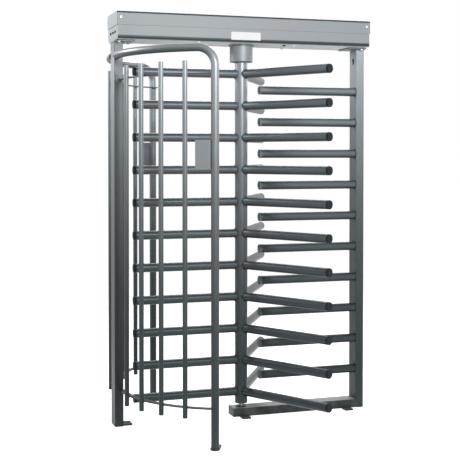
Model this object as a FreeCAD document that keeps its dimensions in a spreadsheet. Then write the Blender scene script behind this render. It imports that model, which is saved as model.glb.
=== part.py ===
import FreeCAD, Part
import os
import re

import Sketcher

from FreeCAD import Placement, Rotation, Vector

# Full height turnstile. Millimetres, +Z up, +X along the header towards the post that
# carries the fixed bars, -Y towards the side people come from. The origin lies on the
# rotor axis, on the floor.

ARM_COUNT = 11
BAR_COUNT = ARM_COUNT - 1
PICKET_COUNT = 4
WINGS = ("rear_wing", "left_wing", "front_wing")
FIRST_WING_ANGLE = 60
LOCK_NOTCH_COUNT = 12
GEAR_TOOTH_COUNT = 36
PINION_TOOTH_COUNT = 12
BALL_COUNT = 10
SPRING_TURN_COUNT = 5
POINT_COUNT = 24
VENT_SLOTS = (-1, 0, 1)
RELAYS = (-1, 0, 1)
HEXAGON_SIDE_COUNT = 6
SKETCH_START = 10
TOLERANCE = 1e-4

# Driving dimensions: alias, value, what it measures.
SIZES = (
    ("header_top", 2300, "overall height"),
    ("header_height", 152, "header, underside to top"),
    ("header_length", 1515, "header, end to end"),
    ("header_depth", 265, "header, front to rear"),
    ("sheet", 3, "header sheet metal"),
    ("sheet_fit", 1, "gap between cover and channel"),
    ("cover_height", 76, "cover, from its lower rim to its top"),
    ("channel_height", 140, "channel, from its underside to its rim"),
    ("cover_bend", 12, "bend radius along the cover's long edges"),
    ("channel_bend", 14, "bend radius along the channel's long edges"),
    ("vent_length", 38, "slot in the channel's left end"),
    ("vent_height", 14, "slot in the channel's left end"),
    ("vent_spacing", 58, "slot to slot"),
    ("vent_rise", 36, "slots above the channel's underside"),
    ("post_width", 50, "post, along the header"),
    ("post_depth", 100, "post, front to rear"),
    ("post_wall", 3, "post and base beam wall"),
    ("cable_hole", 36, "hole in the right post's inner face"),
    ("cable_hole_drop", 76, "hole's centre below the header"),
    ("flange_thickness", 8, "plate on top of a post"),
    ("flange_reach", 62, "plate beyond the post's inner face"),
    ("flange_depth", 160, "plate, front to rear"),
    ("flange_bolt_y", 66, "front and rear flange bolts from the post's centre"),
    ("flange_bolt_x", 20, "inner flange bolt from the post's inner face"),
    ("beam_height", 50, "base beam"),
    ("beam_overhang", 62, "base beam beyond the rotor axis"),
    ("shaft_diameter", 73, "rotor tube"),
    ("shaft_wall", 4, "rotor tube wall"),
    ("shaft_bottom", 72, "rotor tube's lower end above the floor"),
    ("shaft_entry", 14, "rotor tube inside the bearing housing's mouth"),
    ("arm_clearance", 67.5, "arm tip to the posts' inner faces"),
    ("arm_diameter", 50, "arm tube"),
    ("arm_wall", 2.5, "arm and bar tube wall"),
    ("top_arm_drop", 82, "highest arm's centre below the rotor tube's upper end"),
    ("first_arm", 140, "lowest arm's centre above the floor"),
    ("weld_gap", 0.3, "left between two parts that a weld joins"),
    ("cap_length", 14, "end cap outside its tube"),
    ("cap_plug", 20, "end cap inside its tube"),
    ("cap_fit", 0.15, "end cap plug to tube wall"),
    ("bar_diameter", 50, "fixed bar tube"),
    ("bar_inner_end", 100, "fixed bar's free end from the rotor axis"),
    ("bar_forward", 22, "fixed bars in front of the posts' centre"),
    ("cage_offset", 12.5, "cage arc's end at the left post, outside the post's centre"),
    ("cage_forward", 55, "cage arc's centre, in front of or behind the rotor axis"),
    ("cage_radius", 655, "cage arc through the pickets"),
    ("tube_foot_angle", 65.6, "end tube round the arc"),
    ("tube_diameter", 42, "end tube"),
    ("tube_wall", 3, "end tube wall"),
    ("tube_bend", 95, "end tube's bend radius"),
    ("top_run_drop", 84, "end tube's top run below the header"),
    ("picket_diameter", 26, "picket"),
    ("picket_wall", 2.5, "picket wall"),
    ("picket_bottom", 154, "picket's lower end above the floor"),
    ("picket_drop", 151, "picket's upper end below the header"),
    ("first_picket_angle", 14, "first picket round the arc"),
    ("picket_step_angle", 12.5, "picket to picket round the arc"),
    ("hoop_width", 32, "hoop flat bar"),
    ("hoop_thickness", 6, "hoop flat bar"),
    ("lower_hoop_rise", 47, "lower hoop's underside above the pickets' lower ends"),
    ("upper_hoop_drop", 68, "upper hoop's underside below the pickets' upper ends"),
    ("reader_width", 80, "reader plate"),
    ("reader_height", 150, "reader plate"),
    ("reader_thickness", 3, "reader plate"),
    ("reader_bottom", 1440, "reader plate's lower edge above the floor"),
    ("reader_fold", 24, "reader plate's folded edge beside the tube"),
    ("tab_thickness", 8, "floor tab"),
    ("tab_width", 54, "floor tab along the base beam"),
    ("tab_reach", 62, "floor tab out from the base beam"),
    ("outer_tab_inset", 67.5, "outer pair of floor tabs from the right post's inner face"),
    ("post_tab_width", 80, "left post's floor tab, front to rear"),
    ("post_tab_reach", 54, "left post's floor tab, out from the post"),
    ("anchor_hole", 14, "floor anchor hole"),
    ("anchor_edge", 22, "floor anchor hole from the tab's outer edge"),
    ("foot_width", 50, "end tube's floor tab"),
    ("foot_reach", 82, "end tube's floor tab from the tube's centre"),
    ("collar_diameter", 133, "bearing housing below the header"),
    ("collar_height", 100, "bearing housing below the header"),
    ("collar_rim", 148, "bearing housing's top flange"),
    ("collar_rim_height", 7, "bearing housing's top flange"),
    ("mouth_clearance", 2.5, "rotor tube to the housing's mouth, on the radius"),
    ("bearing_bore", 50, "rotor bearing"),
    ("bearing_outer", 90, "rotor bearing"),
    ("bearing_width", 20, "rotor bearing"),
    ("bearing_rise", 26, "rotor bearing above the housing's mouth"),
    ("bearing_fit", 0.05, "rotor bearing in its seats, on the radius"),
    ("race_wall", 4, "thickness of each bearing ring"),
    ("running_gap", 0.3, "between faces that turn past each other"),
    ("shoulder", 4, "spindle shoulder under the bearing's inner ring, on the radius"),
    ("spindle_diameter", 40, "spindle in the header"),
    ("spindle_end", 3, "spindle beyond its nut"),
    ("spindle_nut", 60, "nut on the spindle, across its corners"),
    ("spindle_nut_height", 12, "nut on the spindle"),
    ("plug_depth", 60, "spindle and pivot pin inside the rotor tube"),
    ("pivot_diameter", 28, "floor pivot pin"),
    ("pivot_depth", 30, "floor pivot pin below the top of the base beam"),
    ("bush_wall", 8, "floor bush wall"),
    ("bush_floor", 3, "floor bush under the pin"),
    ("bush_rim", 8, "floor bush rim beyond its wall"),
    ("bush_rim_height", 5, "floor bush rim"),
    ("base_plate_length", 620, "mechanism base plate"),
    ("base_plate_fit", 1.5, "mechanism base plate's long edges to the channel's bends"),
    ("base_plate_thickness", 8, "mechanism base plate"),
    ("base_bolt_inset", 24, "base plate bolts from the plate's ends"),
    ("base_bolt_edge", 13, "base plate bolts from the plate's long edges"),
    ("earth_stud_inset", 74, "earth stud from the base plate's right end"),
    ("earth_stud_edge", 37, "earth stud from the base plate's front edge"),
    ("passage", 62, "hole for the spindle in the channel and the base plate"),
    ("wheel_rise", 10, "lock wheel above the base plate"),
    ("wheel_thickness", 10, "lock wheel and pawls"),
    ("wheel_radius", 54, "lock wheel"),
    ("notch_depth", 9, "lock wheel's notch"),
    ("notch_width", 15, "lock wheel's notch"),
    ("hub_radius", 30, "hub between the lock wheel and the damper gear"),
    ("gear_rise", 32, "damper gear above the base plate"),
    ("gear_thickness", 12, "damper gear"),
    ("tooth_module", 4, "damper gears, pitch diameter per tooth"),
    ("tooth_addendum", 2.8, "damper gears, tooth above the pitch circle"),
    ("tooth_dedendum", 4.2, "damper gears, tooth below the pitch circle"),
    ("tooth_backlash", 1.2, "damper gears, extra width of each gap"),
    ("tooth_lean", 0.364, "damper gears, sideways lean of a flank per millimetre"),
    ("damper_diameter", 66, "damper body"),
    ("damper_height", 28, "damper body"),
    ("damper_shaft", 14, "damper's shaft"),
    ("damper_seat", 20, "damper's shaft inside its body"),
    ("pawl_x", 100, "pawl pivot from the rotor axis"),
    ("pawl_y", 75, "pawl pivot from the rotor axis"),
    ("pawl_pin", 12, "pawl's pivot pin"),
    ("pivot_shoulder", 24, "pivot pin's shoulder"),
    ("pivot_head", 18, "pivot pin's head"),
    ("pivot_head_height", 3, "pivot pin's head"),
    ("pawl_bar", 18, "width of the pawl's two arms"),
    ("pawl_lever", 45, "pawl's drive pin from its pivot"),
    ("pawl_tooth", 8, "width of the pawl's tooth"),
    ("pawl_clearance", 3, "pawl's tooth to the lock wheel, released"),
    ("drive_pin", 6, "pawl's drive pin"),
    ("drive_pin_height", 7, "pawl's drive pin"),
    ("pin_slack", 0.5, "drive pin in the plunger's eye, on the radius"),
    ("eye_width", 16, "plunger's eye"),
    ("eye_thickness", 4, "plunger's eye"),
    ("eye_length", 20, "plunger's eye, from the drive pin to the spring seat"),
    ("spring_seat", 22, "collar on the plunger"),
    ("spring_seat_thickness", 3, "collar on the plunger"),
    ("plunger_diameter", 12, "solenoid plunger"),
    ("plunger_rise", 22, "solenoid plunger's axis above the base plate"),
    ("plunger_length", 90, "solenoid plunger, from the drive pin to its inner end"),
    ("plunger_room", 10, "solenoid's bore beyond the plunger"),
    ("solenoid_x", 152, "solenoid body's near face from the rotor axis"),
    ("solenoid_length", 72, "solenoid body"),
    ("solenoid_width", 42, "solenoid body"),
    ("solenoid_height", 42, "solenoid body"),
    ("spring_wire", 1.6, "plunger spring"),
    ("controller_x", 420, "controller and supply from the rotor axis"),
    ("controller_length", 190, "controller board"),
    ("controller_depth", 120, "controller board"),
    ("board_thickness", 2, "controller board"),
    ("standoff_height", 12, "controller board above the channel's floor"),
    ("standoff_diameter", 8, "pillar under the controller board"),
    ("standoff_inset", 12, "pillar's axis from the board's edges"),
    ("terminal_length", 152, "terminal strip on the board"),
    ("terminal_depth", 12, "terminal strip on the board"),
    ("terminal_height", 14, "terminal strip on the board"),
    ("terminal_inset", 6, "terminal strip from the board's front edge"),
    ("relay_length", 26, "relay on the board"),
    ("relay_depth", 17, "relay on the board"),
    ("relay_height", 16, "relay on the board"),
    ("relay_pitch", 48, "relay to relay"),
    ("supply_length", 160, "power supply"),
    ("supply_depth", 98, "power supply"),
    ("supply_height", 42, "power supply"),
    ("label_length", 176, "blank label plate"),
    ("label_height", 45, "blank label plate"),
    ("label_thickness", 1.2, "blank label plate"),
    ("label_shift", 15, "blank label plate's middle, left of the rotor axis"),
    ("label_rise", 15, "blank label plate above the channel's underside"),
    ("screw_head", 15, "cover screw head"),
    ("screw_head_height", 4, "cover screw head"),
    ("screw_shank", 6, "cover screw shank"),
    ("screw_length", 13, "cover screw below its head"),
    ("screw_inset", 22, "cover screw from the header's end"),
    ("screw_drop", 33, "cover screw below the header's top"),
    ("bolt_head", 18, "hexagon bolt head and nut, across the corners"),
    ("bolt_head_height", 7, "hexagon bolt head and nut"),
    ("bolt_shank", 10, "hexagon bolt shank"),
    ("bolt_fit", 0.5, "bolt or screw in its hole, on the radius"),
)

# Places that several pieces share, as formulas on the sheet's aliases.
HEADER_BOTTOM = "(header_top - header_height)"
FLANGE_BOTTOM = f"({HEADER_BOTTOM} - flange_thickness)"
CHANNEL_FLOOR = f"({HEADER_BOTTOM} + sheet)"
PLATE_TOP = f"({CHANNEL_FLOOR} + base_plate_thickness)"
CHANNEL_INSET = "(sheet + sheet_fit)"
CHANNEL_FRONT = f"(header_depth / 2 - {CHANNEL_INSET})"
BASE_PLATE_HALF = f"({CHANNEL_FRONT} - channel_bend - base_plate_fit)"
BASE_BOLT_X = "(base_plate_length / 2 - base_bolt_inset)"
BASE_BOLT_Y = f"({BASE_PLATE_HALF} - base_bolt_edge)"
POST_X = "(header_length / 2 - post_width / 2)"
POST_INNER = "(header_length / 2 - post_width)"
OUTER_TAB = f"({POST_INNER} - outer_tab_inset)"
ARM_REACH = f"({POST_INNER} - arm_clearance)"
POST_FRONT = "(post_depth / 2)"
FLANGE_BOLT = f"({POST_INNER} - flange_bolt_x)"
SCREW_X = "(header_length / 2 - screw_inset)"
SCREW_Z = "(header_top - screw_drop)"
COLLAR_BOTTOM = f"({HEADER_BOTTOM} - collar_height)"
SHAFT_TOP = f"({COLLAR_BOTTOM} + shaft_entry)"
ARM_PITCH = f"(({SHAFT_TOP} - top_arm_drop - first_arm) / {ARM_COUNT - 1})"
FIRST_BAR = f"(first_arm + {ARM_PITCH} / 2)"
BEARING_BOTTOM = f"({COLLAR_BOTTOM} + bearing_rise)"
BEARING_TOP = f"({BEARING_BOTTOM} + bearing_width)"
WHEEL_BOTTOM = f"({PLATE_TOP} + wheel_rise)"
PAWL_TOP = f"({WHEEL_BOTTOM} + wheel_thickness)"
GEAR_BOTTOM = f"({PLATE_TOP} + gear_rise)"
GEAR_TOP = f"({GEAR_BOTTOM} + gear_thickness)"
GEAR_DISTANCE = f"(tooth_module * {(GEAR_TOOTH_COUNT + PINION_TOOTH_COUNT) / 2})"
PLUNGER_Z = f"({PLATE_TOP} + plunger_rise)"
DRIVE_Y = "(pawl_y - pawl_lever)"
CAGE_LEFT = f"({POST_X} + cage_offset - cage_radius)"
PICKET_TOP = f"({HEADER_BOTTOM} - picket_drop)"
TOP_RUN = f"({HEADER_BOTTOM} - top_run_drop)"
BEND_ANGLE = "(atan(tube_bend / cage_radius) / 1 deg)"
TUBE_RADIUS = "sqrt(cage_radius ^ 2 + tube_bend ^ 2)"
TUBE_X = f"(-{CAGE_LEFT} - {TUBE_RADIUS} * cos(tube_foot_angle))"
TUBE_Y = f"(-cage_forward - {TUBE_RADIUS} * sin(tube_foot_angle))"

doc = FreeCAD.newDocument("full_height_turnstile")
sheet = doc.addObject("Spreadsheet::Sheet", "Sizes")
for row, (alias, value, note) in enumerate(SIZES, start=1):
    sheet.set(f"A{row}", alias)
    sheet.set(f"B{row}", str(value))
    sheet.set(f"C{row}", note)
    sheet.setAlias(f"B{row}", alias)
doc.recompute()

ALIASES = {alias for alias, value, note in SIZES}
NODES = {}


def formula(text):
    """Point a formula's words at the cells that they name."""
    return re.sub(r"[a-z_]+", lambda word: f"Sizes.{word[0]}" if word[0] in ALIASES else word[0], text)


def add(kind, name):
    """New object of the document, labelled with its name."""
    obj = doc.addObject(kind, name)
    obj.Label = name
    return obj


def bind(obj, **properties):
    """Drive properties of an object by formulas."""
    for name, text in properties.items():
        obj.setExpression(name, formula(text))
    return obj


def place(obj, x="0", y="0", z="0"):
    """Drive an object's position by formulas."""
    for axis, text in zip("xyz", (x, y, z)):
        obj.setExpression(f"Placement.Base.{axis}", formula(text))
    return obj


def turn(obj, angle):
    """Turn an object about Z by an angle in degrees from a formula."""
    obj.Placement = Placement(Vector(), Rotation(Vector(0, 0, 1), 1))
    obj.setExpression("Placement.Rotation.Angle", formula(angle))
    return obj


def box(name, length, width, height, x, y, z):
    """Box from its lowest corner."""
    return place(bind(add("Part::Box", name), Length=length, Width=width, Height=height), x, y, z)


def cylinder(name, radius, height, x="0", y="0", z="0", along=(0, 0, 1)):
    """Round bar whose axis starts at a point and runs along a direction."""
    obj = bind(add("Part::Cylinder", name), Radius=radius, Height=height)
    obj.Placement = Placement(Vector(), Rotation(Vector(0, 0, 1), Vector(along)))
    return place(obj, x, y, z)


def hexagon(name, corners, height, x="0", y="0", z="0"):
    """Hexagon bolt head or nut, standing along Z."""
    obj = bind(add("Part::Prism", name), Circumradius=f"{corners} / 2", Height=height)
    obj.Polygon = HEXAGON_SIDE_COUNT
    return place(obj, x, y, z)


def cut(name, base, tool):
    """A base less a tool."""
    obj = add("Part::Cut", name)
    obj.Base = base
    obj.Tool = tool
    return obj


def fuse(name, *shapes):
    """One solid out of several."""
    obj = add("Part::MultiFuse", name)
    obj.Shapes = list(shapes)
    return obj


def group(name, shapes):
    """Separate solids that share one object."""
    obj = add("Part::Compound", name)
    obj.Links = list(shapes)
    return obj


def mirrored(name, source, normal):
    """The same piece on the other side of the rotor axis."""
    obj = add("Part::Mirroring", name)
    obj.Source = source
    obj.Normal = normal
    return obj


def node(obj, name):
    """Keep an object as a piece of the turnstile."""
    obj.Label = name
    NODES[name] = obj
    return obj


FRONT_TO_REAR = (0, 1, 0)
LEFT_TO_RIGHT = (1, 0, 0)


# Sketched bodies.


def body(name):
    """Empty body."""
    return add("PartDesign::Body", f"{name}_body")


def sketch(owner, name, role="XY_Plane", offset="0"):
    """Sketch on one of a body's own planes, moved along the plane's normal."""
    obj = owner.newObject("Sketcher::SketchObject", name)
    plane = next(feature for feature in owner.Origin.OriginFeatures if feature.Role == role)
    obj.AttachmentSupport = [(plane, "")]
    obj.MapMode = "FlatFace"
    obj.setExpression("AttachmentOffset.Base.z", formula(offset))
    return obj


def fix_point(obj, geometry, position, x, y):
    """Hold a sketch point at two distances from the sketch's origin."""
    point = obj.getPoint(geometry, position)
    for kind, start, text in (("DistanceX", point.x, x), ("DistanceY", point.y, y)):
        index = obj.addConstraint(Sketcher.Constraint(kind, -1, 1, geometry, position, start))
        obj.setExpression(f"Constraints[{index}]", formula(text))


def outline(obj, points):
    """Closed outline of straight lines through points given by formulas."""
    count = len(points)
    first = obj.GeometryCount
    start = Vector(SKETCH_START, 0, 0)
    corners = [Rotation(Vector(0, 0, 1), 360 * i / count).multVec(start) for i in range(count)]
    for i in range(count):
        obj.addGeometry(Part.LineSegment(corners[i], corners[(i + 1) % count]), False)
    for i in range(count):
        joint = Sketcher.Constraint("Coincident", first + i, 2, first + (i + 1) % count, 1)
        obj.addConstraint(joint)
    for i, (x, y) in enumerate(points):
        fix_point(obj, first + i, 1, x, y)


def circle(obj, radius, x="0", y="0"):
    """Circle with its centre and radius given by formulas."""
    index = obj.addGeometry(Part.Circle(Vector(1, 1, 0), Vector(0, 0, 1), SKETCH_START), False)
    fix_point(obj, index, 3, x, y)
    constraint = obj.addConstraint(Sketcher.Constraint("Radius", index, SKETCH_START))
    obj.setExpression(f"Constraints[{constraint}]", formula(radius))


def rectangle(half_x, half_y):
    """Corners of a rectangle about the origin."""
    return [(f"-{half_x}", f"-{half_y}"), (half_x, f"-{half_y}"), (half_x, half_y), (f"-{half_x}", half_y)]


def pad(owner, name, profile, length):
    """Material from a sketch, along its normal."""
    obj = bind(owner.newObject("PartDesign::Pad", name), Length=length)
    obj.Profile = profile
    return obj


def pocket(owner, name, profile):
    """Cut from a sketch right through the solid."""
    obj = owner.newObject("PartDesign::Pocket", name)
    obj.Profile = profile
    obj.Type = "ThroughAll"
    obj.Midplane = True
    return obj


def polar(owner, name, feature, count):
    """Repeat a feature round the body's Z axis."""
    obj = owner.newObject("PartDesign::PolarPattern", name)
    axis = next(item for item in owner.Origin.OriginFeatures if item.Role == "Z_Axis")
    obj.Originals = [feature]
    obj.Axis = (axis, [""])
    obj.Angle = 360
    obj.Occurrences = count
    owner.Tip = obj
    return obj


def revolved(name, points):
    """Body of revolution about Z, from points given as radius and height."""
    owner = body(name)
    profile = sketch(owner, f"{name}_profile", "XZ_Plane")
    outline(profile, points)
    obj = owner.newObject("PartDesign::Revolution", f"{name}_revolution")
    obj.Profile = profile
    obj.ReferenceAxis = (profile, ["V_Axis"])
    obj.Angle = 360
    return node(owner, name)


# Header: a folded channel below, a folded cover over it.


def level_edges(shape, level):
    """Names of the edges that run along X at a height."""
    names = []
    for index, edge in enumerate(shape.Edges, start=1):
        reach = edge.BoundBox
        if abs(reach.ZMin - level) < TOLERANCE and abs(reach.ZMax - level) < TOLERANCE:
            if reach.XLength > reach.YLength:
                names.append(f"Edge{index}")
    return names


def level_face(shape, level):
    """Name of the flat face at a height."""
    for index, face in enumerate(shape.Faces, start=1):
        if abs(face.BoundBox.ZMin - level) + abs(face.BoundBox.ZMax - level) < TOLERANCE:
            return f"Face{index}"
    raise ValueError(f"no face at {level}")


def tray(name, inset, bottom, height, bend, opens_up):
    """Sheet metal tray with two rounded long edges, open at its top or at its bottom."""
    owner = body(name)
    plan = sketch(owner, f"{name}_plan", "XY_Plane", bottom)
    outline(plan, rectangle(f"(header_length / 2 - {inset})", f"(header_depth / 2 - {inset})"))
    block = pad(owner, f"{name}_block", plan, height)
    doc.recompute()
    low = block.Shape.BoundBox.ZMin
    high = block.Shape.BoundBox.ZMax
    bends = owner.newObject("PartDesign::Fillet", f"{name}_bends")
    bends.Base = (block, level_edges(block.Shape, low if opens_up else high))
    bind(bends, Radius=bend)
    doc.recompute()
    shell = owner.newObject("PartDesign::Thickness", f"{name}_shell")
    shell.Base = (bends, [level_face(bends.Shape, high if opens_up else low)])
    bind(shell, Value="sheet")
    shell.Reversed = True
    shell.Join = 1
    return owner


def hole(name, radius, x, y, bottom, top):
    """Tool for an upright hole between two heights."""
    return cylinder(name, radius, f"({top}) - ({bottom})", x, y, bottom)


def screw_hole(name, x, side):
    """Tool for a cover screw's hole through the front or rear walls."""
    start = f"{side} * (header_depth / 2 + sheet)"
    walls = f"2 * sheet + {CHANNEL_INSET} + sheet"
    return cylinder(name, "screw_shank / 2 + bolt_fit", walls, x, start, SCREW_Z, (0, -side, 0))


SCREW_PLACES = [(x, side) for x in (f"-{SCREW_X}", SCREW_X) for side in (-1, 1)]
FLANGE_BOLT_PLACES = [(POST_X, "-flange_bolt_y"), (POST_X, "flange_bolt_y"), (FLANGE_BOLT, "0")]
BASE_BOLT_PLACES = [(f"{x} * {BASE_BOLT_X}", f"{y} * {BASE_BOLT_Y}") for x in (-1, 1) for y in (-1, 1)]
EARTH_STUD = ("base_plate_length / 2 - earth_stud_inset", f"earth_stud_edge - {BASE_PLATE_HALF}")
THROUGH_TAB = ("-tab_thickness", "2 * tab_thickness")
BOLT_HOLE = "bolt_shank / 2 + bolt_fit"


def post_bolt_places():
    """Flange bolts under both posts."""
    return FLANGE_BOLT_PLACES + [(f"-{x}", y) for x, y in FLANGE_BOLT_PLACES]


def header_channel():
    """Channel that carries the mechanism and stands on the posts."""
    shell = tray("channel", CHANNEL_INSET, HEADER_BOTTOM, "channel_height", "channel_bend", True)
    below = f"{HEADER_BOTTOM} - sheet"
    above = f"{CHANNEL_FLOOR} + sheet"
    tools = [hole("channel_passage", "passage / 2", "0", "0", below, above)]
    for i, (x, y) in enumerate(post_bolt_places() + BASE_BOLT_PLACES + [EARTH_STUD]):
        tools.append(hole(f"channel_hole_{i}", BOLT_HOLE, x, y, below, above))
    for i, (x, side) in enumerate(SCREW_PLACES):
        tools.append(screw_hole(f"channel_screw_hole_{i}", x, side))
    for i, step in enumerate(VENT_SLOTS):
        tools.append(box(f"vent_slot_{i}", f"{CHANNEL_INSET} + 2 * sheet", "vent_length", "vent_height",
                         "-header_length / 2", f"{step} * vent_spacing - vent_length / 2",
                         f"{HEADER_BOTTOM} + vent_rise"))
    return node(cut("channel_cut", shell, group("channel_tools", tools)), "header_channel")


def header_cover():
    """Cover that slips over the channel's rim."""
    shell = tray("cover", "0", "(header_top - cover_height)", "cover_height", "cover_bend", False)
    tools = [screw_hole(f"cover_screw_hole_{i}", x, side) for i, (x, side) in enumerate(SCREW_PLACES)]
    return node(cut("cover_cut", shell, group("cover_tools", tools)), "header_cover")


def cover_screws():
    """Button head screws through the cover and the channel's rim."""
    screws = []
    for i, (x, side) in enumerate(SCREW_PLACES):
        face = f"{side} * header_depth / 2"
        head = cylinder(f"screw_head_{i}", "screw_head / 2", "screw_head_height", x, face, SCREW_Z,
                        (0, side, 0))
        rim = bind(add("Part::Fillet", f"screw_dome_{i}"))
        rim.Base = head
        doc.recompute()
        far = [n for n, edge in enumerate(head.Shape.Edges, start=1)
               if abs(abs(edge.BoundBox.YMin) - sheet.header_depth / 2 - sheet.screw_head_height) < TOLERANCE
               and edge.BoundBox.YLength < TOLERANCE]
        rim.Edges = [(n, sheet.screw_head_height / 2, sheet.screw_head_height / 2) for n in far]
        shank = cylinder(f"screw_shank_{i}", "screw_shank / 2", "screw_length", x, face, SCREW_Z,
                         (0, -side, 0))
        screws.append(fuse(f"screw_{i}", rim, shank))
    return node(group("screws", screws), "header_screws")


def through_bolt(name, x, y, head_top, grip):
    """Bolt whose head hangs below two plates, with its nut on top of them."""
    head = hexagon(f"{name}_head", "bolt_head", "bolt_head_height", x, y, f"{head_top} - bolt_head_height")
    shank = cylinder(f"{name}_shank", "bolt_shank / 2", f"{grip} + 2 * bolt_head_height", x, y,
                     f"{head_top} - bolt_head_height / 2")
    nut = hexagon(f"{name}_nut", "bolt_head", "bolt_head_height", x, y, f"{head_top} + {grip}")
    return fuse(name, head, shank, nut)


def header_bolts():
    """Bolts that hold the posts, the base plate and the earth lead."""
    flange = [through_bolt(f"flange_bolt_{i}", x, y, FLANGE_BOTTOM, "(flange_thickness + sheet)")
              for i, (x, y) in enumerate(post_bolt_places())]
    node(group("flange_bolt_set", flange), "post_flange_bolts")
    base = [through_bolt(f"base_bolt_{i}", x, y, HEADER_BOTTOM, "(sheet + base_plate_thickness)")
            for i, (x, y) in enumerate(BASE_BOLT_PLACES)]
    node(group("base_bolt_set", base), "base_plate_bolts")
    node(through_bolt("earth", *EARTH_STUD, HEADER_BOTTOM, "(sheet + base_plate_thickness)"), "earth_stud")


def label_plate():
    """Blank plate on the channel's front."""
    plate = box("label", "label_length", "label_thickness", "label_height",
                "-label_shift - label_length / 2", f"-{CHANNEL_FRONT} - label_thickness",
                f"{HEADER_BOTTOM} + label_rise")
    node(plate, "blank_label_plate")


# Posts, base beam and what fastens them to the floor.


def tube_section(name, length, width, height, x, y, z):
    """Rectangular tube that stands along Z."""
    outer = box(f"{name}_outer", length, width, height, x, y, z)
    inner = box(f"{name}_inner", f"{length} - 2 * post_wall", f"{width} - 2 * post_wall", height,
                f"{x} + post_wall", f"{y} + post_wall", z)
    return cut(f"{name}_tube", outer, inner)


def posts():
    """Two posts from the floor to their flanges."""
    right = tube_section("right", "post_width", "post_depth", FLANGE_BOTTOM, POST_INNER,
                         f"-{POST_FRONT}", "0")
    left = mirrored("left_tube", right, LEFT_TO_RIGHT)
    cable_hole = cylinder("cable_hole", "cable_hole / 2", "3 * post_wall", f"{POST_INNER} - post_wall",
                          "0", f"{HEADER_BOTTOM} - cable_hole_drop", LEFT_TO_RIGHT)
    node(left, "left_post")
    node(cut("right_cut", right, cable_hole), "right_post")


def post_flanges():
    """Plates that bolt the posts to the header."""
    plate = box("flange", "post_width + flange_reach", "flange_depth", "flange_thickness",
                f"{POST_INNER} - flange_reach", "-flange_depth / 2", FLANGE_BOTTOM)
    tools = [hole(f"flange_hole_{i}", BOLT_HOLE, x, y, f"{FLANGE_BOTTOM} - sheet", f"{HEADER_BOTTOM} + sheet")
             for i, (x, y) in enumerate(FLANGE_BOLT_PLACES)]
    right = cut("flange_cut", plate, group("flange_tools", tools))
    node(right, "right_post_flange")
    node(mirrored("left_flange", right, LEFT_TO_RIGHT), "left_post_flange")


def base_beam():
    """Beam on the floor from the pivot to the right post, closed at its free end."""
    outer = box("beam_outer", f"{POST_INNER} + beam_overhang", "post_depth", "beam_height",
                "-beam_overhang", f"-{POST_FRONT}", "0")
    inner = box("beam_inner", f"{POST_INNER} + beam_overhang", "post_depth - 2 * post_wall",
                "beam_height - 2 * post_wall", "-beam_overhang + post_wall",
                f"-{POST_FRONT} + post_wall", "post_wall")
    seat = hole("bush_seat", "pivot_diameter / 2 + running_gap + bush_wall + bearing_fit", "0", "0",
                "beam_height - 2 * post_wall", "beam_height + post_wall")
    node(cut("beam_seat", cut("beam_tube", outer, inner), seat), "base_beam")


def floor_bush():
    """Cup in the beam that the pivot pin turns in."""
    bore = "pivot_diameter / 2 + running_gap"
    wall = f"{bore} + bush_wall"
    floor = "beam_height - pivot_depth - running_gap"
    revolved("floor_bush", [
        ("0", f"{floor} - bush_floor"),
        (wall, f"{floor} - bush_floor"),
        (wall, "beam_height"),
        (f"{wall} + bush_rim", "beam_height"),
        (f"{wall} + bush_rim", "beam_height + bush_rim_height"),
        (bore, "beam_height + bush_rim_height"),
        (bore, floor),
        ("0", floor),
    ])


def beam_tab(name, x, side):
    """Tab on the floor in front of or behind the base beam, with its anchor hole."""
    y = f"-{POST_FRONT} - tab_reach" if side < 0 else POST_FRONT
    middle = f"{side} * ({POST_FRONT} + tab_reach - anchor_edge)"
    plate = box(f"{name}_plate", "tab_width", "tab_reach", "tab_thickness", f"{x} - tab_width / 2", y, "0")
    return cut(name, plate, hole(f"{name}_hole", "anchor_hole / 2", x, middle, *THROUGH_TAB))


def floor_tabs():
    """Tabs beside the base beam and the left post."""
    tabs = [beam_tab(f"beam_tab_{i}", x, side)
            for i, (x, side) in enumerate((x, side) for x in ("0", OUTER_TAB) for side in (-1, 1))]
    node(group("beam_tab_set", tabs), "base_beam_floor_tabs")
    plate = box("post_tab_plate", "post_tab_reach", "post_tab_width", "tab_thickness",
                f"-{POST_INNER}", "-post_tab_width / 2", "0")
    anchor = hole("post_tab_hole", "anchor_hole / 2", f"-{POST_INNER} + post_tab_reach - anchor_edge", "0",
                  *THROUGH_TAB)
    node(cut("post_tab", plate, anchor), "left_post_floor_tab")


# Fixed bars.


def capped_tubes(name, diameter, start, end, heights, y, free_end):
    """Tubes along +X, one at each height, and the plugs that close one end of each."""
    length = f"({end}) - ({start})"
    bore = f"{diameter} / 2 - arm_wall"
    mouth, outward = (end, 1) if free_end == "far" else (start, -1)
    outer = []
    inner = []
    caps = []
    for i, z in enumerate(heights):
        outer.append(cylinder(f"{name}_outer_{i}", f"{diameter} / 2", length, start, y, z, (1, 0, 0)))
        inner.append(cylinder(f"{name}_inner_{i}", bore, length, start, y, z, (1, 0, 0)))
        disc = cylinder(f"{name}_disc_{i}", f"{diameter} / 2", "cap_length", mouth, y, z, (outward, 0, 0))
        plug = cylinder(f"{name}_plug_{i}", f"{bore} - cap_fit", "cap_plug", mouth, y, z, (-outward, 0, 0))
        caps.append(fuse(f"{name}_cap_{i}", disc, plug))
    tubes = cut(f"{name}_tubes", group(f"{name}_outers", outer), group(f"{name}_inners", inner))
    return tubes, group(f"{name}_caps", caps)


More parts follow.
